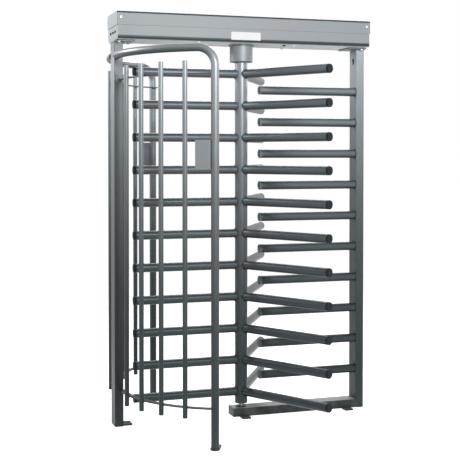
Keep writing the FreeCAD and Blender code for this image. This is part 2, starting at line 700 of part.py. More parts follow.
def fixed_bars():
    """Bars that reach from the right post to the rotor."""
    heights = [f"{FIRST_BAR} + {i} * {ARM_PITCH}" for i in range(BAR_COUNT)]
    tubes, caps = capped_tubes("bar", "bar_diameter", "bar_inner_end + cap_length", POST_INNER, heights,
                               "-bar_forward", "near")
    node(tubes, "fixed_bars")
    node(caps, "fixed_bar_caps")


# Rotor.


def rotor():
    """Tube with three wings of arms, its spindle and its pivot pin."""
    height = f"{SHAFT_TOP} - shaft_bottom"
    outer = cylinder("shaft_outer", "shaft_diameter / 2", height, z="shaft_bottom")
    inner = cylinder("shaft_inner", "shaft_diameter / 2 - shaft_wall", height, z="shaft_bottom")
    node(cut("shaft_tube", outer, inner), "rotor_tube")
    heights = [f"first_arm + {i} * {ARM_PITCH}" for i in range(ARM_COUNT)]
    tubes, caps = capped_tubes("arm", "arm_diameter", "0", f"{ARM_REACH} - cap_length", heights, "0", "far")
    envelope = cylinder("shaft_envelope", "shaft_diameter / 2 + weld_gap", "header_top")
    coped = cut("coped_arms", tubes, envelope)
    for i, name in enumerate(WINGS):
        angle = str(FIRST_WING_ANGLE + 360 * i / len(WINGS))
        node(turn(group(f"{name}_tubes", [coped]), angle), f"{name}_arms")
        node(turn(group(f"{name}_plugs", [caps]), angle), f"{name}_caps")


def spindle():
    """Stepped spindle in the rotor tube's top, through the bearing into the header."""
    plug = "shaft_diameter / 2 - shaft_wall - bearing_fit"
    journal = "bearing_bore / 2 - bearing_fit"
    revolved("top_spindle", [
        ("0", f"{SHAFT_TOP} - plug_depth"),
        (plug, f"{SHAFT_TOP} - plug_depth"),
        (plug, SHAFT_TOP),
        ("bearing_bore / 2 + shoulder", SHAFT_TOP),
        ("bearing_bore / 2 + shoulder", BEARING_BOTTOM),
        (journal, BEARING_BOTTOM),
        (journal, BEARING_TOP),
        ("spindle_diameter / 2", BEARING_TOP),
        ("spindle_diameter / 2", f"{GEAR_TOP} + spindle_nut_height + spindle_end"),
        ("0", f"{GEAR_TOP} + spindle_nut_height + spindle_end"),
    ])
    nut = hexagon("nut", "spindle_nut", "spindle_nut_height", z=GEAR_TOP)
    bore = cylinder("nut_bore", "spindle_diameter / 2 + bearing_fit", "spindle_nut_height", z=GEAR_TOP)
    node(cut("nut_cut", nut, bore), "spindle_nut")


def pivot_pin():
    """Pin in the rotor tube's foot, down into the floor bush."""
    plug = "shaft_diameter / 2 - shaft_wall - bearing_fit"
    revolved("floor_pivot_pin", [
        ("0", "beam_height - pivot_depth"),
        ("pivot_diameter / 2", "beam_height - pivot_depth"),
        ("pivot_diameter / 2", "shaft_bottom"),
        (plug, "shaft_bottom"),
        (plug, "shaft_bottom + plug_depth"),
        ("0", "shaft_bottom + plug_depth"),
    ])


# Bearing below the header.


def bearing():
    """Housing, ball bearing and the sleeve that holds the bearing down."""
    outer = "collar_diameter / 2"
    mouth = "shaft_diameter / 2 + mouth_clearance"
    seat = "bearing_outer / 2 + bearing_fit"
    revolved("bearing_housing", [
        (mouth, COLLAR_BOTTOM),
        (outer, COLLAR_BOTTOM),
        (outer, f"{HEADER_BOTTOM} - collar_rim_height"),
        ("collar_rim / 2", f"{HEADER_BOTTOM} - collar_rim_height"),
        ("collar_rim / 2", HEADER_BOTTOM),
        (seat, HEADER_BOTTOM),
        (seat, BEARING_BOTTOM),
        (mouth, BEARING_BOTTOM),
    ])
    outer_race = ("bearing_outer / 2 - race_wall", "bearing_outer / 2")
    inner_race = ("bearing_bore / 2", "bearing_bore / 2 + race_wall")
    ring("bearing_outer_ring", *outer_race, BEARING_BOTTOM, BEARING_TOP)
    ring("bearing_inner_ring", *inner_race, BEARING_BOTTOM, BEARING_TOP)
    ring("bearing_sleeve", *outer_race, BEARING_TOP, HEADER_BOTTOM)
    pitch = "(bearing_bore + bearing_outer) / 4"
    balls = []
    for i in range(BALL_COUNT):
        ball = bind(add("Part::Sphere", f"ball_{i}"),
                    Radius="(bearing_outer - bearing_bore) / 4 - race_wall - running_gap")
        angle = 360 * i / BALL_COUNT
        balls.append(place(ball, f"{pitch} * cos({angle})", f"{pitch} * sin({angle})",
                           f"{BEARING_BOTTOM} + bearing_width / 2"))
    node(group("ball_set", balls), "bearing_balls")


def ring(name, inner, outer, bottom, top):
    """Plain ring about the rotor axis."""
    height = f"({top}) - ({bottom})"
    solid = cylinder(f"{name}_solid", outer, height, z=bottom)
    bore = cylinder(f"{name}_bore", inner, height, z=bottom)
    node(cut(f"{name}_cut", solid, bore), name)


# Mechanism in the header.


def base_plate():
    """Plate that carries the lock and the damper."""
    plate = box("base_plate_solid", "base_plate_length", f"2 * {BASE_PLATE_HALF}", "base_plate_thickness",
                "-base_plate_length / 2", f"-{BASE_PLATE_HALF}", CHANNEL_FLOOR)
    below = f"{CHANNEL_FLOOR} - sheet"
    above = f"{PLATE_TOP} + sheet"
    tools = [hole("base_plate_passage", "passage / 2", "0", "0", below, above)]
    for i, (x, y) in enumerate(BASE_BOLT_PLACES + [EARTH_STUD]):
        tools.append(hole(f"base_plate_hole_{i}", BOLT_HOLE, x, y, below, above))
    node(cut("base_plate_cut", plate, group("base_plate_tools", tools)), "mechanism_base_plate")


def lock_wheel():
    """Notched wheel on the spindle, with the hub that the damper gear stands on."""
    owner = body("lock_wheel")
    disc = sketch(owner, "wheel_disc", "XY_Plane", WHEEL_BOTTOM)
    circle(disc, "wheel_radius")
    pad(owner, "wheel_plate", disc, "wheel_thickness")
    notch = sketch(owner, "wheel_notch", "XY_Plane", WHEEL_BOTTOM)
    outline(notch, [
        ("wheel_radius - notch_depth", "-notch_width / 2"),
        ("wheel_radius + notch_depth", "-notch_width / 2"),
        ("wheel_radius + notch_depth", "notch_width / 2"),
        ("wheel_radius - notch_depth", "notch_width / 2"),
    ])
    first = pocket(owner, "wheel_first_notch", notch)
    polar(owner, "wheel_notches", first, LOCK_NOTCH_COUNT)
    hub = sketch(owner, "wheel_hub", "XY_Plane", WHEEL_BOTTOM)
    circle(hub, "hub_radius")
    pad(owner, "wheel_hub_pad", hub, "gear_rise - wheel_rise")
    bore = sketch(owner, "wheel_bore", "XY_Plane", WHEEL_BOTTOM)
    circle(bore, "spindle_diameter / 2 + bearing_fit")
    owner.Tip = pocket(owner, "wheel_bore_cut", bore)
    node(owner, "lock_wheel")


def tooth_gap(pitch_radius):
    """Outline of the gap between two teeth, symmetric about the sketch's X axis."""
    middle = "(tooth_module * pi / 4 + tooth_backlash / 2)"
    root = f"({middle} - tooth_dedendum * tooth_lean)"
    mouth = f"({middle} + 2 * tooth_addendum * tooth_lean)"
    inner = f"{pitch_radius} - tooth_dedendum"
    outer = f"{pitch_radius} + 2 * tooth_addendum"
    return [(inner, f"-{root}"), (outer, f"-{mouth}"), (outer, mouth), (inner, root)]


def toothed_disc(name, teeth):
    """Body with a toothed disc at the damper gears' height."""
    pitch_radius = f"tooth_module * {teeth / 2}"
    owner = body(name)
    disc = sketch(owner, f"{name}_disc", "XY_Plane", GEAR_BOTTOM)
    circle(disc, f"{pitch_radius} + tooth_addendum")
    pad(owner, f"{name}_plate", disc, "gear_thickness")
    gap = sketch(owner, f"{name}_gap", "XY_Plane", GEAR_BOTTOM)
    outline(gap, tooth_gap(pitch_radius))
    first = pocket(owner, f"{name}_first_gap", gap)
    polar(owner, f"{name}_gaps", first, teeth)
    return owner


def damper():
    """Gear on the spindle, the pinion that it drives and the damper's body."""
    gear = toothed_disc("gear", GEAR_TOOTH_COUNT)
    bore = sketch(gear, "gear_bore", "XY_Plane", GEAR_BOTTOM)
    circle(bore, "spindle_diameter / 2 + bearing_fit")
    gear.Tip = pocket(gear, "gear_bore_cut", bore)
    node(gear, "damper_gear")
    pinion = toothed_disc("pinion", PINION_TOOTH_COUNT)
    shaft_bottom = f"{PLATE_TOP} + damper_height - damper_seat"
    shaft = sketch(pinion, "pinion_shaft", "XY_Plane", shaft_bottom)
    circle(shaft, "damper_shaft / 2")
    pinion.Tip = pad(pinion, "pinion_shaft_pad", shaft, "gear_rise - damper_height + damper_seat")
    turn(pinion, str(180 / PINION_TOOTH_COUNT))
    node(place(pinion, f"-{GEAR_DISTANCE}"), "damper_pinion")
    solid = cylinder("damper_solid", "damper_diameter / 2", "damper_height", f"-{GEAR_DISTANCE}", z=PLATE_TOP)
    seat = cylinder("damper_seat_hole", "damper_shaft / 2 + running_gap", "damper_height",
                    f"-{GEAR_DISTANCE}", z=f"{shaft_bottom} - running_gap")
    node(cut("damper_cut", solid, seat), "damper_body")


def pawl():
    """Bell crank: one arm ends in the tooth, the other carries the drive pin."""
    half = "pawl_bar / 2"
    owner = body("pawl")
    plan = sketch(owner, "pawl_plan", "XY_Plane", WHEEL_BOTTOM)
    tooth_tip = "-wheel_radius - pawl_clearance"
    outline(plan, [
        ("-pawl_tooth / 2", tooth_tip),
        ("pawl_tooth / 2", tooth_tip),
        ("pawl_tooth / 2", f"-pawl_y + {half}"),
        (f"pawl_x - {half}", f"-pawl_y + {half}"),
        (f"pawl_x - {half}", f"-{DRIVE_Y} + {half}"),
        (f"pawl_x + {half}", f"-{DRIVE_Y} + {half}"),
        (f"pawl_x + {half}", f"-pawl_y - {half}"),
        (f"pawl_x - {half}", f"-pawl_y - {half}"),
        ("-pawl_tooth / 2", "-pawl_y"),
    ])
    pad(owner, "pawl_plate", plan, "wheel_thickness")
    pivot = sketch(owner, "pawl_pivot_hole", "XY_Plane", WHEEL_BOTTOM)
    circle(pivot, "pawl_pin / 2 + running_gap", "pawl_x", "-pawl_y")
    pocket(owner, "pawl_pivot_cut", pivot)
    drive = sketch(owner, "pawl_drive", "XY_Plane", WHEEL_BOTTOM)
    circle(drive, "drive_pin / 2", "pawl_x", f"-{DRIVE_Y}")
    owner.Tip = pad(owner, "pawl_drive_pin", drive, "wheel_thickness + drive_pin_height")
    node(owner, "front_lock_pawl")
    node(mirrored("rear_pawl", owner, FRONT_TO_REAR), "rear_lock_pawl")


def pawl_pivots():
    """Shouldered pins that the pawls turn on."""
    axis = ("pawl_x", "-pawl_y")
    shoulder = cylinder("pivot_shoulder", "pivot_shoulder / 2", "wheel_rise - running_gap", *axis, PLATE_TOP)
    pin = cylinder("pivot_pin", "pawl_pin / 2", "wheel_rise + wheel_thickness + 2 * running_gap", *axis,
                   PLATE_TOP)
    head = cylinder("pivot_head", "pivot_head / 2", "pivot_head_height", *axis, f"{PAWL_TOP} + running_gap")
    front = fuse("front_pivot", shoulder, pin, head)
    rear = mirrored("rear_pivot", front, FRONT_TO_REAR)
    node(group("pivot_pair", [front, rear]), "pawl_pivot_pins")


def solenoid():
    """Solenoid with its plunger, whose eye takes the pawl's drive pin."""
    y = f"-{DRIVE_Y}"
    eye_bottom = f"{PAWL_TOP} + running_gap"
    case = box("solenoid_case", "solenoid_length", "solenoid_width", "solenoid_height", "solenoid_x",
               f"{y} - solenoid_width / 2", PLATE_TOP)
    bore = cylinder("solenoid_bore", "plunger_diameter / 2 + running_gap",
                    "pawl_x + plunger_length + plunger_room - solenoid_x", "solenoid_x", y, PLUNGER_Z,
                    LEFT_TO_RIGHT)
    front_case = cut("front_solenoid_cut", case, bore)
    node(front_case, "front_solenoid")
    node(mirrored("rear_solenoid_case", front_case, FRONT_TO_REAR), "rear_solenoid")
    eye = box("eye_solid", "eye_length + eye_width / 2", "eye_width", "eye_thickness",
              "pawl_x - eye_width / 2", f"{y} - eye_width / 2", eye_bottom)
    eye_hole = cylinder("eye_hole", "drive_pin / 2 + pin_slack", "eye_thickness", "pawl_x", y, eye_bottom)
    rod = cylinder("plunger_rod", "plunger_diameter / 2", "plunger_length - eye_length",
                   "pawl_x + eye_length", y, PLUNGER_Z, LEFT_TO_RIGHT)
    seat = cylinder("plunger_seat", "spring_seat / 2", "spring_seat_thickness",
                    "pawl_x + eye_length", y, PLUNGER_Z, LEFT_TO_RIGHT)
    plunger = fuse("plunger", cut("eye", eye, eye_hole), rod, seat)
    node(plunger, "front_plunger")
    node(mirrored("rear_plunger_shape", plunger, FRONT_TO_REAR), "rear_plunger")


def plunger_spring():
    """Compression spring between the plunger's collar and the solenoid, one unbroken wire."""
    start = sheet.pawl_x + sheet.eye_length + sheet.spring_seat_thickness + sheet.running_gap
    end = sheet.solenoid_x - sheet.running_gap
    wire = sheet.spring_wire / 2
    radius = (sheet.spring_seat - sheet.spring_wire) / 2 - wire
    length = end - start - 2 * wire
    path = Part.makeHelix(length / SPRING_TURN_COUNT, length, radius)
    profile = Part.Wire([Part.makeCircle(wire, Vector(radius, 0, 0), Vector(0, 1, 0))])
    coil = Part.Wire(path).makePipeShell([profile], True, False)
    plate_top = sheet.header_top - sheet.header_height + sheet.sheet + sheet.base_plate_thickness
    points = path.discretize(SPRING_TURN_COUNT * POINT_COUNT)
    gap = min(a.distanceToPoint(b) for i, a in enumerate(points) for b in points[i + POINT_COUNT // 2:])
    print("spring, least gap to itself", round(gap - 2 * wire, 2))
    spring = add("Part::Feature", "spring")
    spring.Shape = coil
    axis = Vector(start + wire, sheet.pawl_lever - sheet.pawl_y, plate_top + sheet.plunger_rise)
    spring.Placement = Placement(axis, Rotation(Vector(0, 1, 0), 90))
    node(spring, "front_plunger_spring")
    node(mirrored("rear_spring", spring, FRONT_TO_REAR), "rear_plunger_spring")


def electrics():
    """Controller board on its pillars and the power supply, on the channel's floor."""
    board_bottom = f"{CHANNEL_FLOOR} + standoff_height"
    board_top = f"{board_bottom} + board_thickness"
    parts = [box("board", "controller_length", "controller_depth", "board_thickness",
                 "-controller_x - controller_length / 2", "-controller_depth / 2", board_bottom)]
    for i, (x, y) in enumerate((x, y) for x in (-1, 1) for y in (-1, 1)):
        parts.append(cylinder(f"standoff_{i}", "standoff_diameter / 2", "standoff_height",
                              f"-controller_x + {x} * (controller_length / 2 - standoff_inset)",
                              f"{y} * (controller_depth / 2 - standoff_inset)", CHANNEL_FLOOR))
    parts.append(box("terminal_strip", "terminal_length", "terminal_depth", "terminal_height",
                     "-controller_x - terminal_length / 2", "-controller_depth / 2 + terminal_inset",
                     board_top))
    for i, step in enumerate(RELAYS):
        parts.append(box(f"relay_{i}", "relay_length", "relay_depth", "relay_height",
                         f"-controller_x + {step} * relay_pitch - relay_length / 2", "0", board_top))
    node(fuse("controller", *parts), "controller_board")
    node(box("supply", "supply_length", "supply_depth", "supply_height", "controller_x - supply_length / 2",
             "-supply_depth / 2", CHANNEL_FLOOR), "power_supply")


# Cage: a front half, and its mirror image behind the rotor.


def hoop(name, z):
    """Flat bar lying flat, straight off the post and round the arc to the end tube."""
    outer_radius = "cage_radius - picket_diameter / 2 - weld_gap"
    inner_radius = f"{outer_radius} - hoop_width"
    rounds = []
    for side, radius in (("outer", outer_radius), ("inner", inner_radius)):
        sector = bind(add("Part::Cylinder", f"{name}_{side}"), Radius=radius, Height="hoop_thickness",
                      Angle="tube_foot_angle")
        rounds.append(place(turn(sector, "180"), f"-{CAGE_LEFT}", "-cage_forward", z))
    band = cut(f"{name}_band", *rounds)
    run = box(f"{name}_run", "hoop_width", f"cage_forward - {POST_FRONT}", "hoop_thickness",
              f"-{CAGE_LEFT} - ({outer_radius})", "-cage_forward", z)
    envelope = cylinder(f"{name}_tube_room", "tube_diameter / 2 + weld_gap", "hoop_thickness",
                        TUBE_X, TUBE_Y, z)
    return cut(f"{name}_hoop", fuse(f"{name}_bar", band, run), envelope)


def bent_bar(name, radius):
    """Upright leg with its bend and its run round the arc, and a straight end to the post."""
    leg = cylinder(f"{name}_leg", radius, f"{TOP_RUN} - tube_bend", "cage_radius", "tube_bend")
    bend = bind(add("Part::Torus", f"{name}_bend"), Radius1="tube_bend", Radius2=radius)
    bend.Angle3 = 90
    bend.Placement = Placement(Vector(), Rotation(Vector(1, 1, 1), 120))
    place(bend, "cage_radius", "0", f"{TOP_RUN} - tube_bend")
    sweep = f"(tube_foot_angle - {BEND_ANGLE})"
    run = bind(add("Part::Torus", f"{name}_run"), Radius1="cage_radius", Radius2=radius, Angle3=sweep)
    place(turn(run, f"-{sweep}"), z=TOP_RUN)
    curved = fuse(f"{name}_curved", leg, bend, run)
    place(turn(curved, f"180 + {sweep}"), f"-{CAGE_LEFT}", "-cage_forward")
    end = cylinder(f"{name}_end", radius, f"cage_forward - {POST_FRONT}", f"-{CAGE_LEFT} - cage_radius",
                   "-cage_forward", TOP_RUN, FRONT_TO_REAR)
    return curved, end


def end_tube():
    """Bent tube that ends the cage at the walkway."""
    solids = bent_bar("end_tube_outer", "tube_diameter / 2")
    bores = bent_bar("end_tube_inner", "tube_diameter / 2 - tube_wall")
    walls = [cut(f"end_tube_wall_{i}", solid, bore) for i, (solid, bore) in enumerate(zip(solids, bores))]
    return fuse("end_tube_walls", *walls)


def tube_foot():
    """Floor tab that points from the end tube towards the arc's centre."""
    plate = box("foot_plate", "foot_reach", "foot_width", "tab_thickness", "0", "-foot_width / 2", "0")
    tube_room = hole("foot_tube_room", "tube_diameter / 2 + weld_gap", "0", "0", *THROUGH_TAB)
    anchor = hole("foot_hole", "anchor_hole / 2", "foot_reach - anchor_edge", "0", *THROUGH_TAB)
    foot = cut("foot_cut", plate, group("foot_tools", [tube_room, anchor]))
    return place(turn(foot, "tube_foot_angle"), TUBE_X, TUBE_Y)


def reader_plate():
    """Blank folded plate beside the end tube, its long leaf towards the pickets."""
    start = "tube_diameter / 2 + weld_gap"
    owner = body("reader")
    plan = sketch(owner, "reader_plan", "XY_Plane", "reader_bottom")
    outline(plan, [
        ("-reader_fold / 2", start),
        ("reader_fold / 2", start),
        ("reader_fold / 2", f"{start} + reader_thickness"),
        ("-reader_fold / 2 + reader_thickness", f"{start} + reader_thickness"),
        ("-reader_fold / 2 + reader_thickness", f"{start} + reader_width"),
        ("-reader_fold / 2", f"{start} + reader_width"),
    ])
    pad(owner, "reader_leaf", plan, "reader_height")
    return place(turn(owner, "tube_foot_angle"), TUBE_X, TUBE_Y)


def cage():
    """Both halves of the cage."""
    pieces = {
        "lower_hoop": hoop("lower", "picket_bottom + lower_hoop_rise"),
        "upper_hoop": hoop("upper", f"{PICKET_TOP} - upper_hoop_drop"),
        "end_tube": end_tube(),
        "tube_foot": tube_foot(),
        "reader_plate": reader_plate(),
    }
    pickets = []
    for i in range(PICKET_COUNT):
        angle = f"(first_picket_angle + {i} * picket_step_angle)"
        x = f"-{CAGE_LEFT} - cage_radius * cos({angle})"
        y = f"-cage_forward - cage_radius * sin({angle})"
        height = f"{PICKET_TOP} - picket_bottom"
        start = (x, y, "picket_bottom")
        outer = cylinder(f"picket_outer_{i}", "picket_diameter / 2", height, *start)
        inner = cylinder(f"picket_inner_{i}", "picket_diameter / 2 - picket_wall", height, *start)
        pickets.append(cut(f"picket_{i}", outer, inner))
    pieces["pickets"] = group("picket_set", pickets)
    for name, piece in pieces.items():
        node(piece, f"front_{name}")
        node(mirrored(f"rear_{name}_shape", piece, FRONT_TO_REAR), f"rear_{name}")


header_channel()
header_cover()
cover_screws()
header_bolts()
label_plate()
posts()
post_flanges()
base_beam()
floor_bush()
floor_tabs()
fixed_bars()
rotor()
spindle()
pivot_pin()
bearing()
base_plate()
lock_wheel()
damper()
pawl()
pawl_pivots()
solenoid()
plunger_spring()
electrics()
cage()
doc.recompute()

failed = [obj.Label for obj in doc.Objects if "Invalid" in obj.State or "Error" in obj.State]
if failed:
    raise RuntimeError(f"not computed: {failed}")
for name, obj in NODES.items():
    if obj.Shape.isNull() or not obj.Shape.isValid():
        raise RuntimeError(f"bad shape: {name}")

os.makedirs("parts", exist_ok=True)
for name, obj in NODES.items():
    obj.Shape.exportStep(f"parts/{name}.step")
    print(name, len(obj.Shape.Solids), round(obj.Shape.Volume / 1000, 1))
print(len(NODES), "nodes")
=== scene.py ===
"""Looks of the full height turnstile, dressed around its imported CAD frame.

Sizes are in millimetres, in the frame of the CAD: +Z up, +X along the header towards the post
that carries the fixed bars, -Y towards the side people come from, origin on the rotor axis on
the floor. Piece scales them to metres when it makes its mesh. Paints, lamps and the camera are
in metres.
"""

import logging
import math
from abc import ABC, abstractmethod
from collections.abc import Iterable, Iterator, Mapping, Sequence
from dataclasses import dataclass
from enum import Enum

import bmesh
import bpy
import numpy as np
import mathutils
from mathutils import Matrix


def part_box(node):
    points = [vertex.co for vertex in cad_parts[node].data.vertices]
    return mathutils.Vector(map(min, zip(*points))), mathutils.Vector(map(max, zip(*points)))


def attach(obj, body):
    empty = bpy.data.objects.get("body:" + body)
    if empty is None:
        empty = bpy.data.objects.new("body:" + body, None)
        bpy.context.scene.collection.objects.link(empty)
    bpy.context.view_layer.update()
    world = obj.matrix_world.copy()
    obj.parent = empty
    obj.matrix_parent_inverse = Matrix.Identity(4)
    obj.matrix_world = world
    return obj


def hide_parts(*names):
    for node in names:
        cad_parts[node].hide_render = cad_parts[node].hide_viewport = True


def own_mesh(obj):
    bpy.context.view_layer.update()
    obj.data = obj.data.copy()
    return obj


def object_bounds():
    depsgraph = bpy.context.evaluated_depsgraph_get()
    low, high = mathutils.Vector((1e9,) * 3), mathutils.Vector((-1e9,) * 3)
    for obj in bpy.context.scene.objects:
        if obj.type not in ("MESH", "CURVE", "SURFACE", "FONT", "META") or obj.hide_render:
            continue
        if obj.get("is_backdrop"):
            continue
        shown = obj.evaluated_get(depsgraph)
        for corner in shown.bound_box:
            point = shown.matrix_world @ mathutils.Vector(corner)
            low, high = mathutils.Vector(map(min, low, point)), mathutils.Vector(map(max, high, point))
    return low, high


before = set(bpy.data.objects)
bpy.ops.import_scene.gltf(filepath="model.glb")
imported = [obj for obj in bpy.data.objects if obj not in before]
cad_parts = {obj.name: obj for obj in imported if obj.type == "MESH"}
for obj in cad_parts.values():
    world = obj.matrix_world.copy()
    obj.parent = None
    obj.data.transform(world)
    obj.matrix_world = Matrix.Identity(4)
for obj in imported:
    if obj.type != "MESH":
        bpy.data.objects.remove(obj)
CAD_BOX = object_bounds()

MILLIMETRE = 0.001
TURN = 2 * math.pi
MERGE_DISTANCE = 1e-6
CREASE_ANGLE = math.radians(38)
RIPPLE = 0.13  # how much the drops of a weld bead swell
X_AXIS = (1.0, 0.0, 0.0)
Y_AXIS = (0.0, 1.0, 0.0)
Z_AXIS = (0.0, 0.0, 1.0)

log = logging.getLogger("turnstile")

Vector = Sequence[float]
Pair = tuple[float, float]
Triple = tuple[float, float, float]
Colour = Triple


class Body(Enum):
    """Moving groups of the CAD frame that a new piece can ride on."""

    FRAME = "frame"
    ROTOR = "rotor"


class Slot(Enum):
    """Material slots of the record."""

    HEADER = "header_paint"
    FRAME = "frame_paint"
    ROTOR = "rotor_paint"
    CAGE = "cage_paint"
    READER = "reader_paint"
    CAP = "cap_plastic"
    ZINC = "zinc"
    STUD = "stud_steel"
    LABEL = "label_white"
    MACHINED = "machined_steel"
    SPRING = "spring_steel"
    BRONZE = "bronze"
    SOLENOID = "solenoid_black"
    BOARD = "board_green"
    SUPPLY = "supply_metal"


class Half(Enum):
    """Halves of the cage, by the side of the rotor axis that they stand on."""

    FRONT = -1
    REAR = 1


# Surfaces on grids.


def unit(vectors: np.ndarray) -> np.ndarray:
    """The same directions, each of length one."""
    return vectors / np.linalg.norm(vectors, axis=-1, keepdims=True)


def around(angle: np.ndarray, radius: np.ndarray, height: np.ndarray) -> np.ndarray:
    """Points about Z: (r cos a, r sin a, z)."""
    return np.stack([radius * np.cos(angle), radius * np.sin(angle), height + 0 * angle], -1)


def rectangle(left: float, right: float, low: float, high: float) -> list[Pair]:
    """Corners of a rectangle in a plane, in order."""
    return [(left, low), (right, low), (right, high), (left, high)]


def soften(corners: Sequence[Vector], radius: float | Vector, steps: int = 4) -> np.ndarray:
    """Rounds the corners of a closed outline.

    Each corner becomes a quadratic curve that leaves one side and meets the next at `radius`
    from the corner: corner + (1 - t)^2 r before + t^2 r after, with t from 0 to 1.

    Args:
        corners: The outline's corners, in order.
        radius: Distance from a corner at which its curve starts, one for all or one each.
        steps: Points on each corner.

    Returns:
        The outline's points, the first one repeated at the end.
    """
    corner = np.asarray(corners, float)
    reach = np.broadcast_to(np.asarray(radius, float), len(corner))[:, None, None]
    before, after = (unit(np.roll(corner, way, 0) - corner)[:, None] for way in (1, -1))
    t = np.linspace(0, 1, steps)[None, :, None]
    curve = corner[:, None] + reach * ((1 - t) ** 2 * before + t**2 * after)
    points = curve.reshape(-1, corner.shape[1])
    return np.vstack([points, points[:1]])


def lathe(profile: Sequence[Vector], steps: int = 48) -> np.ndarray:
    """Turns a profile of radius and height about Z over a full turn, one row for each angle."""
    radius, height = np.asarray(profile, float).T[:, None, :]
    return around(np.linspace(0, TURN, steps + 1)[:, None], radius, height)


def loft(stations: Sequence[Vector], corner_steps: int = 5) -> np.ndarray:
    """Stacks rounded rectangles along Z, one for each station.

    A rectangle's corner is a quarter circle about (half x - r, half y - r), and so on round
    the other three. A station with no size closes the surface in a point.

    Args:
        stations: Height, half length along X, half width along Y and corner radius of each.
        corner_steps: Points on each corner.

    Returns:
        The surface's points, one row for each station.
    """
    height, half_x, half_y, corner = np.asarray(stations, float).T[:, :, None]
    quarter = np.linspace(0, TURN / 4, corner_steps)
    angle = (quarter + np.arange(4)[:, None] * TURN / 4).ravel()
    side_x = np.repeat([1, -1, -1, 1], corner_steps)
    side_y = np.repeat([1, 1, -1, -1], corner_steps)
    x = side_x * (half_x - corner) + corner * np.cos(angle)
    y = side_y * (half_y - corner) + corner * np.sin(angle)
    grid = np.stack([x, y, height + 0 * x], -1)
    return np.concatenate([grid, grid[:, :1]], 1)


def slab(half_x: float, half_y: float, bottom: float, top: float, corner: float,
         edge: float) -> np.ndarray:
    """Block with rounded upright corners and softened top and bottom edges.

    Args:
        half_x: Half its length.
        half_y: Half its width.
        bottom: Height of its underside.
        top: Height of its upper face.
        corner: Radius of its upright corners.
        edge: Radius of its other edges.

    Returns:
        The surface's points.
    """
    turn = np.linspace(0, TURN / 4, 4)
    inset = edge * (1 - np.sin(turn))
    rise = edge * (1 - np.cos(turn))
    radius = max(corner, edge) - inset * 0.99  # never quite none
    low = np.stack([bottom + rise, half_x - inset, half_y - inset, radius], -1)
    high = low[::-1] * (-1, 1, 1, 1) + (bottom + top, 0, 0, 0)
    return loft([(bottom, 0, 0, 0), *low, *high, (top, 0, 0, 0)])


def pierced(half_x: float, half_y: float, thickness: float, edge: float, corner: float,
            hole: Vector, depth: float = 0.0, steps: int = 48) -> np.ndarray:
    """Plate from z 0 to its thickness with one round hole in its upper face.

    Each row is a ray from the hole's centre: it runs from the hole's circle over the upper
    face to the rectangle's side, round the edge and back along the underside. The ray meets
    the rectangle at the smaller of its distances to the two sides it heads for, pulled in at
    the corners by a share of how far it reaches past both.

    Args:
        half_x: Half the plate's length.
        half_y: Half the plate's width.
        thickness: The plate's thickness.
        edge: Radius of the edges of both faces.
        corner: How far the corners are rounded off.
        hole: The hole's centre along X and Y, and its radius.
        depth: Depth of a blind hole, or 0 for a hole right through.
        steps: Rays besides those near the four corners.

    Returns:
        The surface's points, one row for each ray.
    """
    x, y, radius = hole
    corners = np.arctan2(half_y * np.array([1, 1, -1, -1]) - y,
                         half_x * np.array([1, -1, -1, 1]) - x)
    spread = np.radians([-7, -3.5, 0, 3.5, 7]) if corner else np.zeros(1)
    angle = np.unique(np.concatenate([np.linspace(-TURN / 2, TURN / 2, steps + 1)[:-1],
                                      (corners[:, None] + spread).ravel()]))
    angle = np.append(angle, angle[0] + TURN)[:, None]
    way = np.concatenate([np.cos(angle), np.sin(angle)], 1)
    way[way == 0] = 1e-12  # a ray exactly along X, so that no distance is 0 / 0
    half, centre = np.array([half_x, half_y]), np.array([x, y])
    reach = ((np.sign(way) * half - centre) / way).min(1, keepdims=True)
    end = centre + reach * way
    over = np.maximum(np.abs(end) - half + corner, 0).prod(1, keepdims=True)
    end = end * (1 - 0.3 * over / max(corner, 1) / np.hypot(*end.T)[:, None])
    turn = np.linspace(0, TURN / 4, 4)
    inset = np.concatenate([edge * (1 - np.sin(turn)), edge * (1 - np.cos(turn))])
    level = np.concatenate([thickness - edge * (1 - np.cos(turn)), edge * (1 - np.sin(turn))])
    far_x, far_y = (side - np.sign(side) * np.minimum(inset, np.abs(side))
                    for side in (end[:, :1], end[:, 1:]))
    sides = np.stack([far_x, far_y, level + 0 * angle], -1)
    floor = thickness - depth if depth else 0.0
    sill, rim = (around(angle, np.array([[radius]]), height) + (x, y, 0)
                 for height in (floor, thickness))
    if not depth:
        return np.concatenate([sill, rim, sides, sill], 1)
    first, last = (np.broadcast_to([x, y, height], sill.shape) for height in (floor, 0.0))
    return np.concatenate([first, sill, rim, sides, last], 1)


@dataclass(frozen=True)
class Path:
    """A line in space with two directions across it at each point."""

    points: np.ndarray
    side: np.ndarray
    up: np.ndarray


def line(ends: Sequence[Vector], side: Vector, up: Vector, steps: int = 2) -> Path:
    """Straight run between two points with the same directions all along.

    Args:
        ends: The run's two ends.
        side: First direction across it.
        up: Second direction across it.
        steps: Points on it.

    Returns:
        The path.
    """
    start, end = np.asarray(ends, float)
    run = start + (end - start) * np.linspace(0, 1, steps)[:, None]
    side, up = (np.broadcast_to(np.asarray(way, float), run.shape) for way in (side, up))
    return Path(run, side, up)


